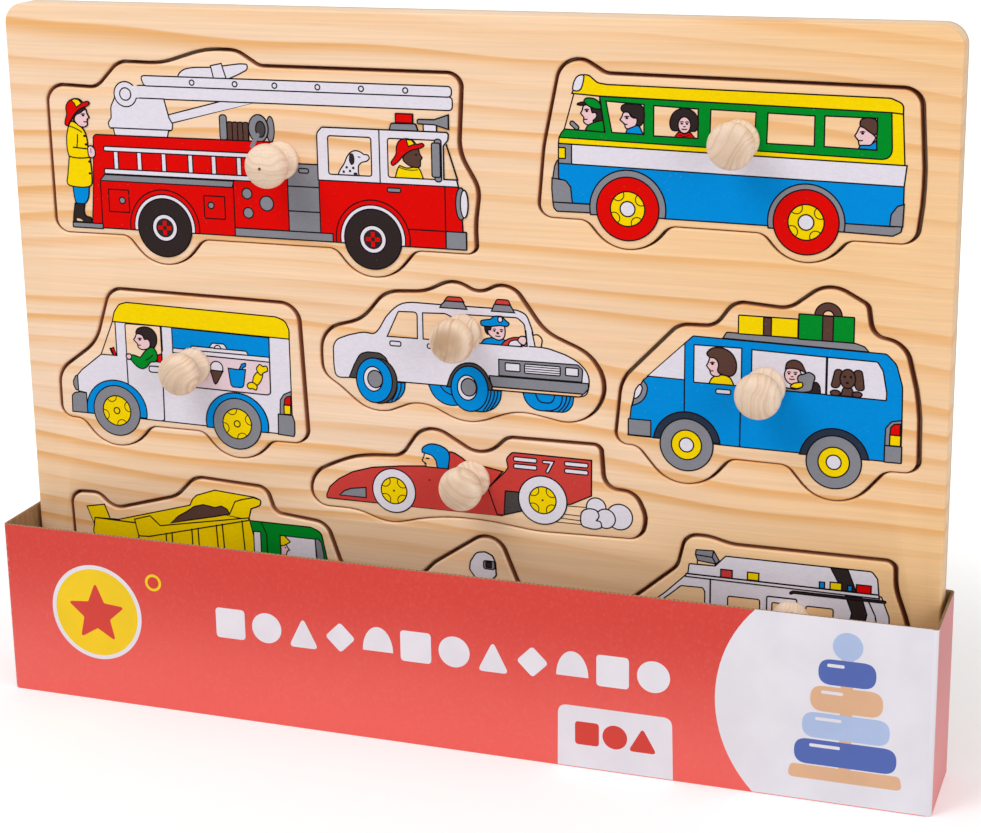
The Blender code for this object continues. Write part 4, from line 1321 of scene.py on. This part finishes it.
def print_camper_van(pen):
    """Camper facing left with luggage on its roof rack."""
    pen.shape("grey", (234, 92.4), (235.1, 90.5, 0.8), (272.8, 91.1, 2), (275.4, 91.9, 1.2), (276.7, 93.3))
    pen.box("yellow", (238.6, 85.1), (256.1, 90.7), 0.3)
    pen.box("brown", (246, 85.3), (248.3, 90.7))
    pen.ring("brown", (264.8, 83.6), 3.95, 1.6)
    pen.box("green", (256.3, 83.5), (272.3, 91), 0.2)
    pen.box("brown", (263.2, 83.6), (266.3, 91))
    pen.shape("blue", (222.6, 94.8), (225.1, 92.4, 0.6), (281.8, 93.6, 1.5), (284.7, 96.5, 3.5),
              (286.6, 103, 5), (286.8, 114.5), (286.8, 125.8), (241.4, 125.3), (205.3, 124.6), (206.3, 116),
              (207.2, 112.2, 1), (210.3, 106.8, 1), (211.5, 105.8), (222.6, 105.9))
    pen.shape("white", (222.6, 94.8), (222.6, 106), (211.3, 105.7))
    pen.box("white", (225.4, 95), (239.7, 106.5), 0.2)
    pen.shape("white", (242.7, 95.2), (264.6, 95.8), (264.6, 107), (242.7, 106.8))
    pen.shape("white", (264.9, 95.8), (279.3, 96.1, 1), (281, 98.8, 1.5), (282.2, 105.3, 1),
              (282.1, 107.4, 0.3), (264.9, 107.1))
    pen.soft("yellow", (230.1, 106.5, 0), (230.8, 104.6), (233.6, 103.4), (236.4, 104), (237.5, 106.5, 0))
    pen.soft("skin", (230.2, 98.2), (232, 98.6), (233.2, 100.2), (232.8, 102.4), (233.6, 103.8),
             (232, 104.3), (230.5, 103.7), (230.3, 102.4, 0.1), (229.2, 101.1, 0.2), (229.9, 99.8))
    pen.soft("brown", (229.1, 97.4), (230.4, 95.7), (233.6, 95.1), (236.9, 96.6), (238.3, 99.6),
             (238.1, 102.4), (236.8, 103.9), (234.2, 103.6), (232.4, 102.8), (233, 100.2), (231.8, 98.5),
             (230, 98.5))
    pen.profile((231, 100.4), (230.2, 102.5), -1)
    pen.line((222.6, 105.9), (222.6, 115.9))
    pen.line((239.6, 106.5), (239.5, 125.2))
    pen.box("white", (232.1, 108), (236.6, 109.4), 0.7)
    pen.disc("skin", (254.9, 102), 2.45, 2.75)
    pen.face((254.7, 101.9), 0.95)
    pen.soft("brown", (252.7, 100.2, 0), (253, 98.2), (255, 97.2), (257.3, 97.9), (258.8, 101, 0),
             (257, 100.2), (254.8, 99.8))
    pen.soft("black", (259.6, 107, 0), (260.6, 104.4), (261.7, 103.3), (262.9, 104.6), (263.1, 107, 0))
    pen.soft("grey", (251.6, 105.8), (256.2, 106.3), (258.2, 104.9), (256.3, 103.6), (256.4, 101.9),
             (258.2, 101.4), (259.6, 100.6), (261.6, 101.7), (260.9, 104), (260.6, 106.4), (258, 106.9),
             (251.7, 106.8))
    pen.soft("yellow", (254, 105.6), (255, 104.4), (257.8, 103.8), (258, 105.2), (256.3, 106))
    pen.soft("brown", (269, 107, 0), (269.6, 104.6), (270.9, 104), (272.3, 104.6), (272.8, 107, 0))
    for side in (267.4, 273.7):
        pen.disc("brown", (side, 106.3), 1.45, 0.85)
    pen.soft("brown", (269.2, 99.2), (267.2, 99.2), (266.6, 102), (266, 104.6), (268.2, 104.8), (269, 103))
    pen.soft("brown", (272.6, 99.2), (274.9, 98.9), (275.4, 101.8), (275.8, 105), (273.4, 105),
             (272.8, 103))
    pen.disc("brown", (270.9, 101.8), 2.25, 2.85)
    for side in (270, 271.8):
        pen.dot((side, 101.2), 0.4)
    pen.dot((270.8, 103), 0.5, 0.35)
    pen.soft("grey", (206.7, 115.3, 0), (207.2, 112.2, 0), (210, 107.1, 0), (211.4, 109), (211, 111.8),
             (209.3, 114.1))
    pen.soft("white", (207.1, 113.1, 0.2), (207.5, 110.2), (209, 108.3), (209.8, 109.4), (209.2, 111.6),
             (208.1, 112.8))
    pen.box("grey", (205.4, 119.5), (212.4, 124.5), 0.2)
    pen.shape("grey", (282.1, 120.9), (282.2, 115.7, 1.2), (283.8, 113.6, 1.2), (286.7, 113),
              (286.8, 120.9))
    pen.shape("red", (283.5, 117.6), (283.7, 115.3, 0.5), (284.7, 114.3, 0.5), (286.4, 114.1),
              (286.4, 117.6))
    pen.box("yellow", (283.5, 117.6), (286.6, 120.8))
    pen.box("grey", (282.1, 120.9), (287, 125.9), 0.2)
    for middle, floor in (((223.4, 126.1), 124.8), ((267.5, 127.4), 125.8)):
        pen.arch("night", middle, 10.25, floor)
        pen.discs(middle, grey=8.1, yellow=4.6, white=2.2)


def print_racing_car(pen):
    """Racing car facing left with a tall rear wing."""
    for left, right in (
        ((184.2, 149.3), (192.3, 149.1)), ((185, 152), (192.7, 152.1)), ((184.2, 153.4), (192.5, 153.7)),
        ((180.8, 154.8), (190.4, 154.8)),
    ):
        pen.line(left, right, width=0.3)
    pen.disc("white", (195.3, 148.8), 3.1)
    pen.disc("white", (202.7, 151.1), 4.1)
    pen.disc("white", (198.3, 152.1), 3.1)
    pen.soft("white", (190.3, 153), (190.6, 150.4), (193, 149.2), (195.6, 149.6), (196.4, 151.6),
             (195.4, 153, 0), (196.8, 153.2), (197.2, 155.2), (194.6, 156), (190.6, 155.2))
    pen.shape("crimson", (160.4, 146), (166.2, 140), (167.1, 138.6, 0.6), (166.5, 135.8, 1.8),
              (168.4, 133.6, 1.8), (193.9, 133.8), (193.8, 145.2), (187.3, 148.5), (170.8, 152.3),
              (165.4, 154.3), (160, 154.3))
    pen.shape("crimson", (105.8, 154.6, 0.5), (105.8, 153.6, 1), (106.9, 150.8, 2), (110, 147.9, 3),
              (115, 145, 4), (121.7, 142.9, 6), (131.7, 141.5, 8), (139.2, 140.8), (147.5, 140.8),
              (147.9, 135.2, 0.4), (149.6, 135.6), (151.8, 136.8), (154.6, 138.8, 1), (160, 139.2),
              (165.3, 140.1), (160.4, 146), (163.3, 154.3), (165, 154.7))
    pen.shape("dark", (166.1, 146.3), (170.6, 146.3), (172.1, 152.1), (165.6, 154.2))
    for left in (168.9, 185.3):
        for top in (134.9, 137.2):
            pen.box("white", (left, top), (left + 7.5, top + 1.4), 0.65)
    pen.stroke("white", 0.95, (178.7, 135.7), (181.3, 135.7), (179.8, 138.7))
    pen.shape("grey", (110.3, 153.2), (111.8, 151.7, 0.5), (114.3, 150.6, 1), (119.4, 149.8),
              (119.4, 153.2))
    pen.soft("wood", (139.6, 136.2), (141.4, 136.4), (143.2, 137.8), (143.8, 140.9, 0), (140, 140.9, 0),
             (140, 139.8, 0.2), (138.7, 139, 0.2), (139.4, 137.6))
    pen.soft("blue", (138.6, 136.2), (139, 134.6), (141.4, 133.2), (144.8, 133.4), (147.4, 134.9),
             (148, 136.8), (147.3, 140.9, 0), (143.7, 140.9, 0), (143.5, 138.6), (142.1, 136.9),
             (140.1, 136.5))
    pen.line((140.2, 138.1), (141, 138.1), width=0.5)
    pen.dot((139.6, 140), 0.2)
    pen.dot((141, 145.2), 0.28)
    for middle, tyre in (((129, 149.9), 7.25), ((178.2, 148.1), 7.8)):
        pen.discs(middle, white=tyre, yellow=4.35)
        pen.scallops(middle, 4.3, 1.85, 45)
        pen.dot(middle, 0.35)


def print_tipper_truck(pen):
    """Truck facing right, its body tipped with a load of earth."""
    pen.shape("grey", (25.5, 190.2), (113, 190.2), (113, 195.4), (25.5, 195.4))
    pen.shape("green", (78.1, 165.3), (99.7, 165.3, 3), (103.3, 166.7, 3), (104.9, 174.9),
              (108, 197.5, 0.6), (106.5, 200.2, 0.5), (78.5, 200.2))
    pen.shape("yellow", (29.9, 169.9), (56.7, 162.2, 1), (57.7, 160, 1.5), (59.3, 158.5, 1), (65.9, 156.1),
              (80, 157.1, 1), (82.5, 157.9, 1), (82.1, 159.7, 1), (78.8, 161.2), (77.9, 164.4),
              (80.3, 174.9), (84.2, 191.2, 0.5), (24, 191.2, 0.6), (20.1, 174.9), (21, 170.1))
    pen.shape("yellow", (18.2, 166.4), (24.8, 165.1), (26.7, 170), (21, 170.1), (20.4, 172.1))
    pen.shape("brown", (49.2, 169.2), (52.1, 166.5, 0.8), (55.5, 164.4), (58.1, 162.5, 1), (61.5, 161.5, 1),
              (63.3, 161.7), (65.7, 162.1), (68.1, 161.3, 1), (70.1, 162.2, 0.6), (71, 163.8), (66, 165.1),
              (56.7, 167.3))
    pen.shape("yellow", (71, 163.8), (73.1, 159.3, 0.8), (75.7, 158.3), (79.7, 157.3, 0.5),
              (82.5, 157.9, 0.8), (82, 159.7, 1), (78.7, 161.2), (77.9, 164.4), (75.7, 164.9), (70, 164.3))
    pen.shape("yellow", (35.9, 169.2), (41.7, 167.4), (45.3, 170.5), (77.7, 164.4), (77.9, 165.2),
              (41, 174.7), (37.1, 174.9))
    pen.line((21, 170.1), (36.1, 170.4))
    pen.line((35.9, 169.2), (37.1, 174.9), (34.9, 190.9))
    for top, bottom in (
        ((47.3, 173), (47.5, 190.9)), ((49.5, 172.4), (49.9, 190.9)), ((56.9, 170.4), (57.2, 190.9)),
        ((59.2, 169.9), (59.6, 190.9)), ((65.9, 168.1), (66.9, 190.9)), ((68.1, 167.5), (69.3, 190.9)),
        ((75.3, 165.6), (76.9, 190.9)),
    ):
        pen.line(top, bottom)
    pen.box("white", (79.3, 168.8), (81.8, 186.3), 0.5)
    pen.shape("green", (82.1, 165.3), (99.7, 165.3, 3), (103.3, 166.7, 3), (104.9, 174.9), (108, 199.8),
              (84, 199.8), (84, 174.9), (84, 169.3, 3))
    pen.shape("white", (88.8, 169.2), (101.1, 169.2, 0.5), (101.3, 174.9), (103, 183), (88.8, 183))
    pen.shape("grey", (101.1, 169.3), (102, 168.8, 0.5), (103.3, 170.1, 0.6), (104, 174.1),
              (104, 181.8, 0.4), (102, 181.8, 0.4))
    pen.shape("skin", (88.9, 172.4), (90.7, 172.1), (91.3, 173.1), (91.9, 173.9), (91.2, 174.3),
              (90.6, 175.9, 0.4), (88.9, 175.9))
    pen.shape("yellow", (88.8, 169.2), (90.3, 169.2, 0.4), (91.3, 170.1), (92.3, 171, 0.2), (91.1, 171.9),
              (90, 172.5), (88.8, 172.7))
    pen.shape("blue", (88.8, 183), (88.8, 176.6), (90.6, 176.2, 0.5), (94.4, 178.6, 0.8), (95.6, 183))
    pen.dot((90.5, 173.2), 0.25)
    pen.line((98.2, 183), (99.6, 178.4), width=0.7)
    pen.box("white", (90.5, 186.2), (95, 187.8), 0.7)
    pen.box("grey", (104.6, 196.2), (113.4, 201.4), 0.5)
    pen.box("grey", (17.6, 193), (26.4, 200.8), 0.5)
    pen.disc("white", (107.4, 192.4), 1.1, 2)
    pen.box("grey", (50.5, 192.6), (66, 201.2), 0.8)
    pen.line((54.4, 192.8), (54.4, 201))
    pen.line((62.1, 192.8), (62.1, 201))
    for middle in ((38.5, 200.5), (96.5, 200.5)):
        pen.arch("black", middle, 10.6, 200.2)
        pen.discs(middle, grey=8.9, yellow=5)
        pen.scallops(middle, 4.85, 1.4, 30)
        pen.disc("yellow", middle, 1.1)


def print_motorcycle(pen):
    """Rider on a motorcycle facing right; only the helmet shows above the sleeve."""
    for middle in ((139, 203.4), (178, 203.4)):
        pen.discs(middle, black=8, white=5.4, grey=1.8)
        pen.spokes(middle, 1.8, 5.4, 10)
    pen.stroke("grey", 1.2, (178, 203.4), (171.2, 186.6))
    pen.stroke("grey", 1.2, (139, 203.4), (152, 200))
    pen.shape("dark", (150.2, 196, 1), (160.8, 194.6, 1), (164.6, 198.6, 1), (162, 205, 1.5),
              (151.6, 205.2, 1.5))
    for top in (197, 199, 201):
        pen.line((152.6, top), (161, top))
    pen.shape("yellow", (132.6, 191.4, 1), (137.6, 188.6, 1.5), (152.6, 190.6, 1), (159.6, 186, 2),
              (169.6, 186.8, 2), (172, 191, 1.5), (166.4, 195.6, 2), (150, 196.4, 1), (143.4, 194.2, 1))
    pen.shape("dark", (137.2, 188.4, 1), (152.2, 188.6, 1), (153.6, 191.6, 1), (139.2, 191.4, 1))
    pen.shape("red", (130.6, 190.6, 0.6), (133.6, 190.4, 0.6), (133.2, 193.2, 0.6), (130.8, 193, 0.6))
    pen.shape("blue", (148.4, 189.4, 1.5), (153, 185.8, 1.5), (161, 188.4, 1.5), (163.2, 191.2, 1),
              (160.6, 201.6, 0.8), (156.8, 201.6, 0.8), (157.2, 194, 1), (149.4, 193.8, 1.5))
    pen.shape("black", (156.4, 200.8), (160.8, 200.8), (160.8, 203.4), (164.2, 205, 0.6), (163.6, 206.4),
              (156.6, 206))
    pen.shape("green", (148.4, 190.2, 1), (149.2, 182.4, 2), (153.6, 177, 1.5), (158.6, 176.2, 1),
              (162.6, 179.2, 1), (166.4, 183.4, 0.8), (171.6, 184.8, 0.6), (171, 187.2, 0.6),
              (164.4, 186, 1), (160.2, 183.4, 1), (157, 190.6, 1))
    pen.disc("dark", (172.2, 186.2), 1.3, 1.1)
    pen.line((171.2, 186), (174.6, 182.6), width=0.7)
    pen.disc("white", (174.4, 189), 1.5, 1.9)
    pen.shape("white", (153.9, 173.4, 1.5), (154.2, 170.8, 2), (156.2, 167.6, 2.5), (159.2, 167.1, 2),
              (161.6, 168.2, 1.5), (162.5, 170.4, 1), (162.7, 174.6, 0.8), (160.6, 176.8, 1),
              (156.4, 176.8, 1.5))
    pen.box("grey", (158.6, 170), (162.3, 172.7), 0.8)
    pen.box("black", (159.4, 170.3), (161.2, 172.2), 0.3)


def print_motorhome(pen):
    """High-roofed motorhome facing left; only its roof shows above the sleeve."""
    pen.box("wood", (227.1, 162.2), (232.6, 163.6))
    pen.shape("grey", (226.5, 160.6, 0.3), (226.7, 159, 0.3), (232.1, 158.8, 0.3), (233.9, 161.9, 0.3),
              (232.8, 162.9, 0.3), (227.2, 162.4, 0.3))
    pen.line((226.5, 160.6), (231.7, 160.9), (232.1, 158.9))
    pen.line((231.7, 160.9), (232.8, 162.8))
    pen.shape("white", (223.6, 167.4), (282.7, 167.7), (285.1, 173.8), (286.6, 200.4), (205.6, 200.4, 1),
              (205.4, 184, 3), (217.2, 173.8))
    pen.shape("white", (224.2, 166.9), (224.6, 163.7, 0.5), (232.6, 163.6, 0.3), (235.8, 160.1, 0.6),
              (279.7, 160.1, 1.5), (281.4, 162.2, 2), (281.9, 167.1))
    pen.shape("black", (267.5, 160.2), (272.6, 160.2), (275.3, 167), (271.2, 167))
    pen.shape("black", (272, 168.2), (276.8, 168.2), (278.6, 173.8), (276.4, 184.5), (272, 184.5),
              (274.1, 173.8))
    pen.shape("white", (223.7, 167), (281.9, 167.2), (282.1, 168.3), (223.5, 167.9))
    pen.stroke("black", 0.7, (255.8, 169.6), (256.5, 169.2), (283.7, 169.2))
    pen.line((278.8, 169.2), (281, 173.8), (283, 184.5))
    pen.shape("wood", (210, 181.6, 0.8), (219.5, 173.5, 0.5), (222.1, 171.1, 1), (228.8, 171, 0.8),
              (229.5, 172.1), (229.6, 181.6, 0.5))
    pen.line((231.2, 167.9), (231.2, 173.8), (231.2, 200.2))
    for ink, low, high in (
        ("crimson", (234.4, 164.4), (237.9, 166.9)), ("yellow", (242.6, 164.4), (246, 166.8)),
        ("blue", (264.3, 165), (265.8, 166.9)), ("yellow", (267.5, 164.7), (270.9, 167)),
        ("blue", (272.7, 165.2), (274, 166.9)), ("red", (275.3, 164.6), (279.6, 167.1)),
    ):
        pen.box(ink, low, high)
    pen.box("wood", (236.6, 172.8), (246.4, 181.6), 0.8)
    pen.shape("blue", (205.4, 186.6), (286.4, 186.6), (286.5, 190.4), (205.4, 190.4))
    pen.box("white", (248.6, 171.4), (257.6, 199.8), 0.6)
    pen.box("wood", (250.2, 173.2), (256, 181), 0.5)
    pen.box("grey", (255.4, 184), (256.8, 187.6), 0.6)
    pen.box("wood", (260.4, 173.2), (268.6, 181.6), 0.8)
    pen.shape("grey", (204.2, 195.6), (216.4, 195.6), (216.4, 202), (205.6, 202, 0.8))
    pen.shape("grey", (278.6, 195.6), (288.2, 195.6), (288.2, 201.6, 0.8), (278.6, 202))
    pen.disc("yellow", (206.6, 192.9), 1, 1.5)
    pen.box("red", (284.2, 191.6), (286.5, 194.6), 0.2)
    for middle in ((226.5, 200.5), (270, 200.5)):
        pen.arch("black", middle, 10.4, 200.4)
        pen.discs(middle, grey=8.7, yellow=4.8, white=2.2)


PRINTS = {
    "fire_engine": print_fire_engine,
    "bus": print_bus,
    "ice_cream_van": print_ice_cream_van,
    "police_car": print_police_car,
    "camper_van": print_camper_van,
    "racing_car": print_racing_car,
    "tipper_truck": print_tipper_truck,
    "motorcycle": print_motorcycle,
    "motorhome": print_motorhome,
}


class PUZZLE_OT_prints(bpy.types.Operator):
    """Print the nine vehicles on the faces of the pieces"""

    bl_idname = "puzzle.prints"
    bl_label = "Prints"

    def execute(self, context):
        inks = chosen("inks")

        def vehicle_ink(name):
            if name == "wood":
                return finish_of("pine", pine)
            return finish_of(name, ink, name, tuple(getattr(inks, name)))

        corner = Vector((BOARD_LOW.x, FACE, BOARD_HIGH.z - PIECE_SAG))
        for name in VEHICLES:
            pen = Pen(corner, inks.line_width)
            PRINTS[name](pen)
            pen.finish(name + "_picture", name, name + "_print", vehicle_ink)
        return {"FINISHED"}


class PUZZLE_OT_sleeve(bpy.types.Operator):
    """Fold the carton sleeve that the board stands in"""

    bl_idname = "puzzle.sleeve"
    bl_label = "Carton sleeve"

    def execute(self, context):
        sleeve = chosen("sleeve")
        low, high = SLEEVE_LOW, SLEEVE_HIGH
        wall = sleeve.wall * MM
        fold = sleeve.fold * MM
        crease = fold * 0.25
        edge = SLEEVE_EDGE * MM
        hem = SLEEVE_HEM * MM

        def ring(inwards, radius, z):
            left, right = low.x + inwards, high.x - inwards
            front, back = low.y + inwards, high.y - inwards
            corners = ((left, front), (right, front), (right, back), (left, back))
            points = turned_round(rounded([(*corner, radius) for corner in corners]))
            return [(point.x, point.y, z) for point in points]

        rings = [
            (ring(hem, fold, low.z), 0),
            (ring(hem * 0.3, fold, low.z + hem * 0.3), 0),
            (ring(0.0, fold, low.z + hem), 0),
            (ring(0.0, fold, high.z - edge), 0),
            (ring(edge, fold, high.z), 1),
            (ring(wall - edge, crease, high.z), 1),
            (ring(wall, crease, high.z - edge), 2),
            (ring(wall, crease, low.z + wall), 2),
        ]
        materials = [finish_of("red_card", red_card), finish_of("cut", kraft, "cut_card", True)]
        materials.append(finish_of("kraft", kraft, "kraft_card", False))
        add_piece("sleeve_card", hull(rings), materials, "sleeve", ["carton_sleeve"])
        return {"FINISHED"}


def print_sleeve(pen, wide, high):
    """Badge, a row of toy blocks, a tab, and a round panel with a ring stacker."""
    pen.discs((33, 27.4), white=16.4, yellow=15)
    star = []
    for number in range(10):
        reach = 11 if number % 2 == 0 else 5
        angle = math.radians(36 * number)
        star.append((33 + reach * math.sin(angle), 27.9 - reach * math.cos(angle), 0.8))
    pen.shape("red", *star)
    pen.discs((54.4, 14.6), yellow=2.9, red=2)
    middle = 25.4
    half = 5.1
    top, bottom = middle - half, middle + half
    for number, kind in enumerate("sctdhsctdhsc"):
        x = 81.5 + 12.7 * number
        if kind == "s":
            pen.box("white", (x - half, top), (x + half, bottom), 1.4)
        elif kind == "c":
            pen.disc("white", (x, middle), half)
        elif kind == "t":
            pen.shape("white", (x, top, 1), (x + half, bottom, 1.2), (x - half, bottom, 1.2))
        elif kind == "d":
            diamond = ((x, top), (x + half, middle), (x, bottom), (x - half, middle))
            pen.shape("white", *[(*corner, 1.2) for corner in diamond])
        else:
            pen.area("white", arc((x, middle + half * 0.6), half, half * 1.6, 0, 180, 18))
    pen.shape("white", (191, high), (191.2, 38, 3), (227, 38, 3), (227.4, high))
    pen.box("red", (196.6, 43), (204.2, 50.6), 1.2)
    pen.disc("red", (209.2, 46.8), 3.9)
    pen.shape("red", (217.9, 42.6, 0.8), (222.4, 50.6, 1), (213.4, 50.6, 1))
    radius = 42
    reach = math.degrees(math.asin(high / 2 / radius))
    side = wide - 1.5
    panel = arc((282, high / 2), radius, radius, 180 - reach, 180 + reach, 24)
    pen.area("white", panel + [(side, high), (side, 0)])
    pen.shape("tan", (262, 51.4, 2), (263, 47, 1.5), (295, 47, 1.5), (296, 51.4, 2))
    pen.box("tan", (277.2, 7.5), (280.8, 48), 1.6)
    rings = ((15, 38.6, "blue"), (12.8, 30, "light_blue"), (10.6, 21.4, "tan"), (8.4, 12.8, "blue"))
    for half, top, ink_name in rings:
        pen.box(ink_name, (279 - half, top), (279 + half, top + 8), 3.9)
        pen.box("white", (279 - half * 0.7, top + 1.4), (279 - half * 0.1, top + 2.4), 0.5)
    pen.disc("light_blue", (279, 8.4), 4.4)


class PUZZLE_OT_sleeve_print(bpy.types.Operator):
    """Print the front of the carton sleeve"""

    bl_idname = "puzzle.sleeve_print"
    bl_label = "Sleeve print"

    def execute(self, context):
        sleeve = chosen("sleeve")
        wide = (SLEEVE_HIGH.x - SLEEVE_LOW.x) / MM
        high = (SLEEVE_HIGH.z - SLEEVE_LOW.z) / MM
        pen = Pen(Vector((SLEEVE_LOW.x, SLEEVE_LOW.y, SLEEVE_HIGH.z)), 0)
        print_sleeve(pen, wide, high - SLEEVE_HEM)

        def card_ink(name):
            return finish_of("card_" + name, sleeve_ink, name, tuple(getattr(sleeve, name)))

        pen.finish("sleeve_picture", "sleeve", "red_card", card_ink)
        return {"FINISHED"}


class PUZZLE_OT_stage(bpy.types.Operator):
    """Set the floor, the soft light and the camera"""

    bl_idname = "puzzle.stage"
    bl_label = "Stage"

    def execute(self, context):
        scene = context.scene
        scene.view_settings.view_transform = "Standard"
        self.floor()
        self.sky(scene)
        for name, place, size, power in LAMPS:
            self.lamp(name, place, size, power)
        self.camera(scene)
        return {"FINISHED"}

    def floor(self):
        pale = chosen("stage").floor
        bm = bmesh.new()
        bmesh.ops.create_grid(bm, x_segments=8, y_segments=8, size=FLOOR_REACH)
        finish = Finish("floor_paper", 0.9)
        fibres = finish.noise(finish.places, 240.0, 4.0)
        finish.paint(finish.blend(fibres, pale, toned(pale, 0.97)))
        glow = finish.span(finish.reach(finish.places), 0.14, 0.4, 0.22, 0.6)
        seen = finish.node("ShaderNodeLightPath").outputs["Is Camera Ray"]
        finish.feed(finish.shader, Emission_Color=WHITE, Emission_Strength=finish.times(glow, seen))
        in_scene("floor", mesh_of("floor", bm, [finish.material]))

    def sky(self, scene):
        world = bpy.data.worlds.new("studio")
        scene.world = world
        world.use_nodes = True
        nodes = world.node_tree.nodes
        links = world.node_tree.links
        background = nodes["Background"]
        background.inputs["Color"].default_value = WHITE
        paths = nodes.new("ShaderNodeLightPath")
        rays = nodes.new("ShaderNodeCombineXYZ")
        for axis, ray in zip("XYZ", ("Is Camera Ray", "Is Glossy Ray", "Is Transmission Ray")):
            links.new(paths.outputs[ray], rays.inputs[axis])
        seen = nodes.new("ShaderNodeVectorMath")
        seen.operation = "LENGTH"
        links.new(rays.outputs[0], seen.inputs[0])
        strength = nodes.new("ShaderNodeMapRange")
        strength.inputs["To Min"].default_value = SKY_LIGHT
        links.new(seen.outputs["Value"], strength.inputs["Value"])
        links.new(strength.outputs[0], background.inputs["Strength"])

    def lamp(self, name, place, size, power):
        light = bpy.data.lights.new(name, "AREA")
        light.shape = "DISK"
        light.size = size
        light.energy = power
        lamp = in_scene(name, light)
        lamp.location = place
        lamp.rotation_euler = (LAMP_AIM - Vector(place)).to_track_quat("-Z", "Y").to_euler()

    def camera(self, scene):
        stage = chosen("stage")
        data = bpy.data.cameras.new("camera")
        data.lens = stage.lens
        data.sensor_width = SENSOR_WIDTH
        data.shift_x, data.shift_y = VIEW_SHIFT
        data.clip_start = NEAREST
        level = math.cos(VIEW_ELEVATION)
        across, deep = math.sin(VIEW_AZIMUTH) * level, -math.cos(VIEW_AZIMUTH) * level
        back = Vector((across, deep, math.sin(VIEW_ELEVATION)))
        right = Vector((0.0, 0.0, 1.0)).cross(back).normalized()
        turn = Matrix((right, back.cross(right), back)).transposed().to_4x4()
        turn = turn @ Matrix.Rotation(-VIEW_ROLL, 4, "Z")
        target = Vector((VIEW_TARGET[0] * MM, FACE, VIEW_TARGET[1] * MM))
        place = Matrix.Translation(target + back * stage.distance * MM)
        camera = in_scene("camera", data)
        camera.matrix_world = place @ turn
        scene.camera = camera


OPERATORS = (
    PUZZLE_OT_board, PUZZLE_OT_vehicles, PUZZLE_OT_knobs, PUZZLE_OT_screws, PUZZLE_OT_prints,
    PUZZLE_OT_sleeve, PUZZLE_OT_sleeve_print, PUZZLE_OT_stage,
)


class PUZZLE_PT_panel(bpy.types.Panel):
    """Lists the parts of the puzzle in the sidebar"""

    bl_idname = "PUZZLE_PT_panel"
    bl_label = "Wooden Vehicle Puzzle"
    bl_space_type = "VIEW_3D"
    bl_region_type = "UI"
    bl_category = "Puzzle"

    def draw(self, context):
        for operator in OPERATORS:
            self.layout.operator(operator.bl_idname)


SETTINGS = {
    "puzzle_wood": PuzzleWood, "puzzle_inks": PuzzleInks, "puzzle_sleeve": PuzzleSleeve,
    "puzzle_stage": PuzzleStage,
}


def register():
    for name, group in SETTINGS.items():
        bpy.utils.register_class(group)
        setattr(bpy.types.Scene, name, PointerProperty(type=group))
    for operator in OPERATORS:
        bpy.utils.register_class(operator)
    bpy.utils.register_class(PUZZLE_PT_panel)


def unregister():
    bpy.utils.unregister_class(PUZZLE_PT_panel)
    for operator in reversed(OPERATORS):
        bpy.utils.unregister_class(operator)
    for name, group in SETTINGS.items():
        delattr(bpy.types.Scene, name)
        bpy.utils.unregister_class(group)


def main():
    register()
    for operator in OPERATORS:
        family, name = operator.bl_idname.split(".")
        getattr(getattr(bpy.ops, family), name)()
    bpy.context.view_layer.update()


if __name__ == "__main__":
    main()
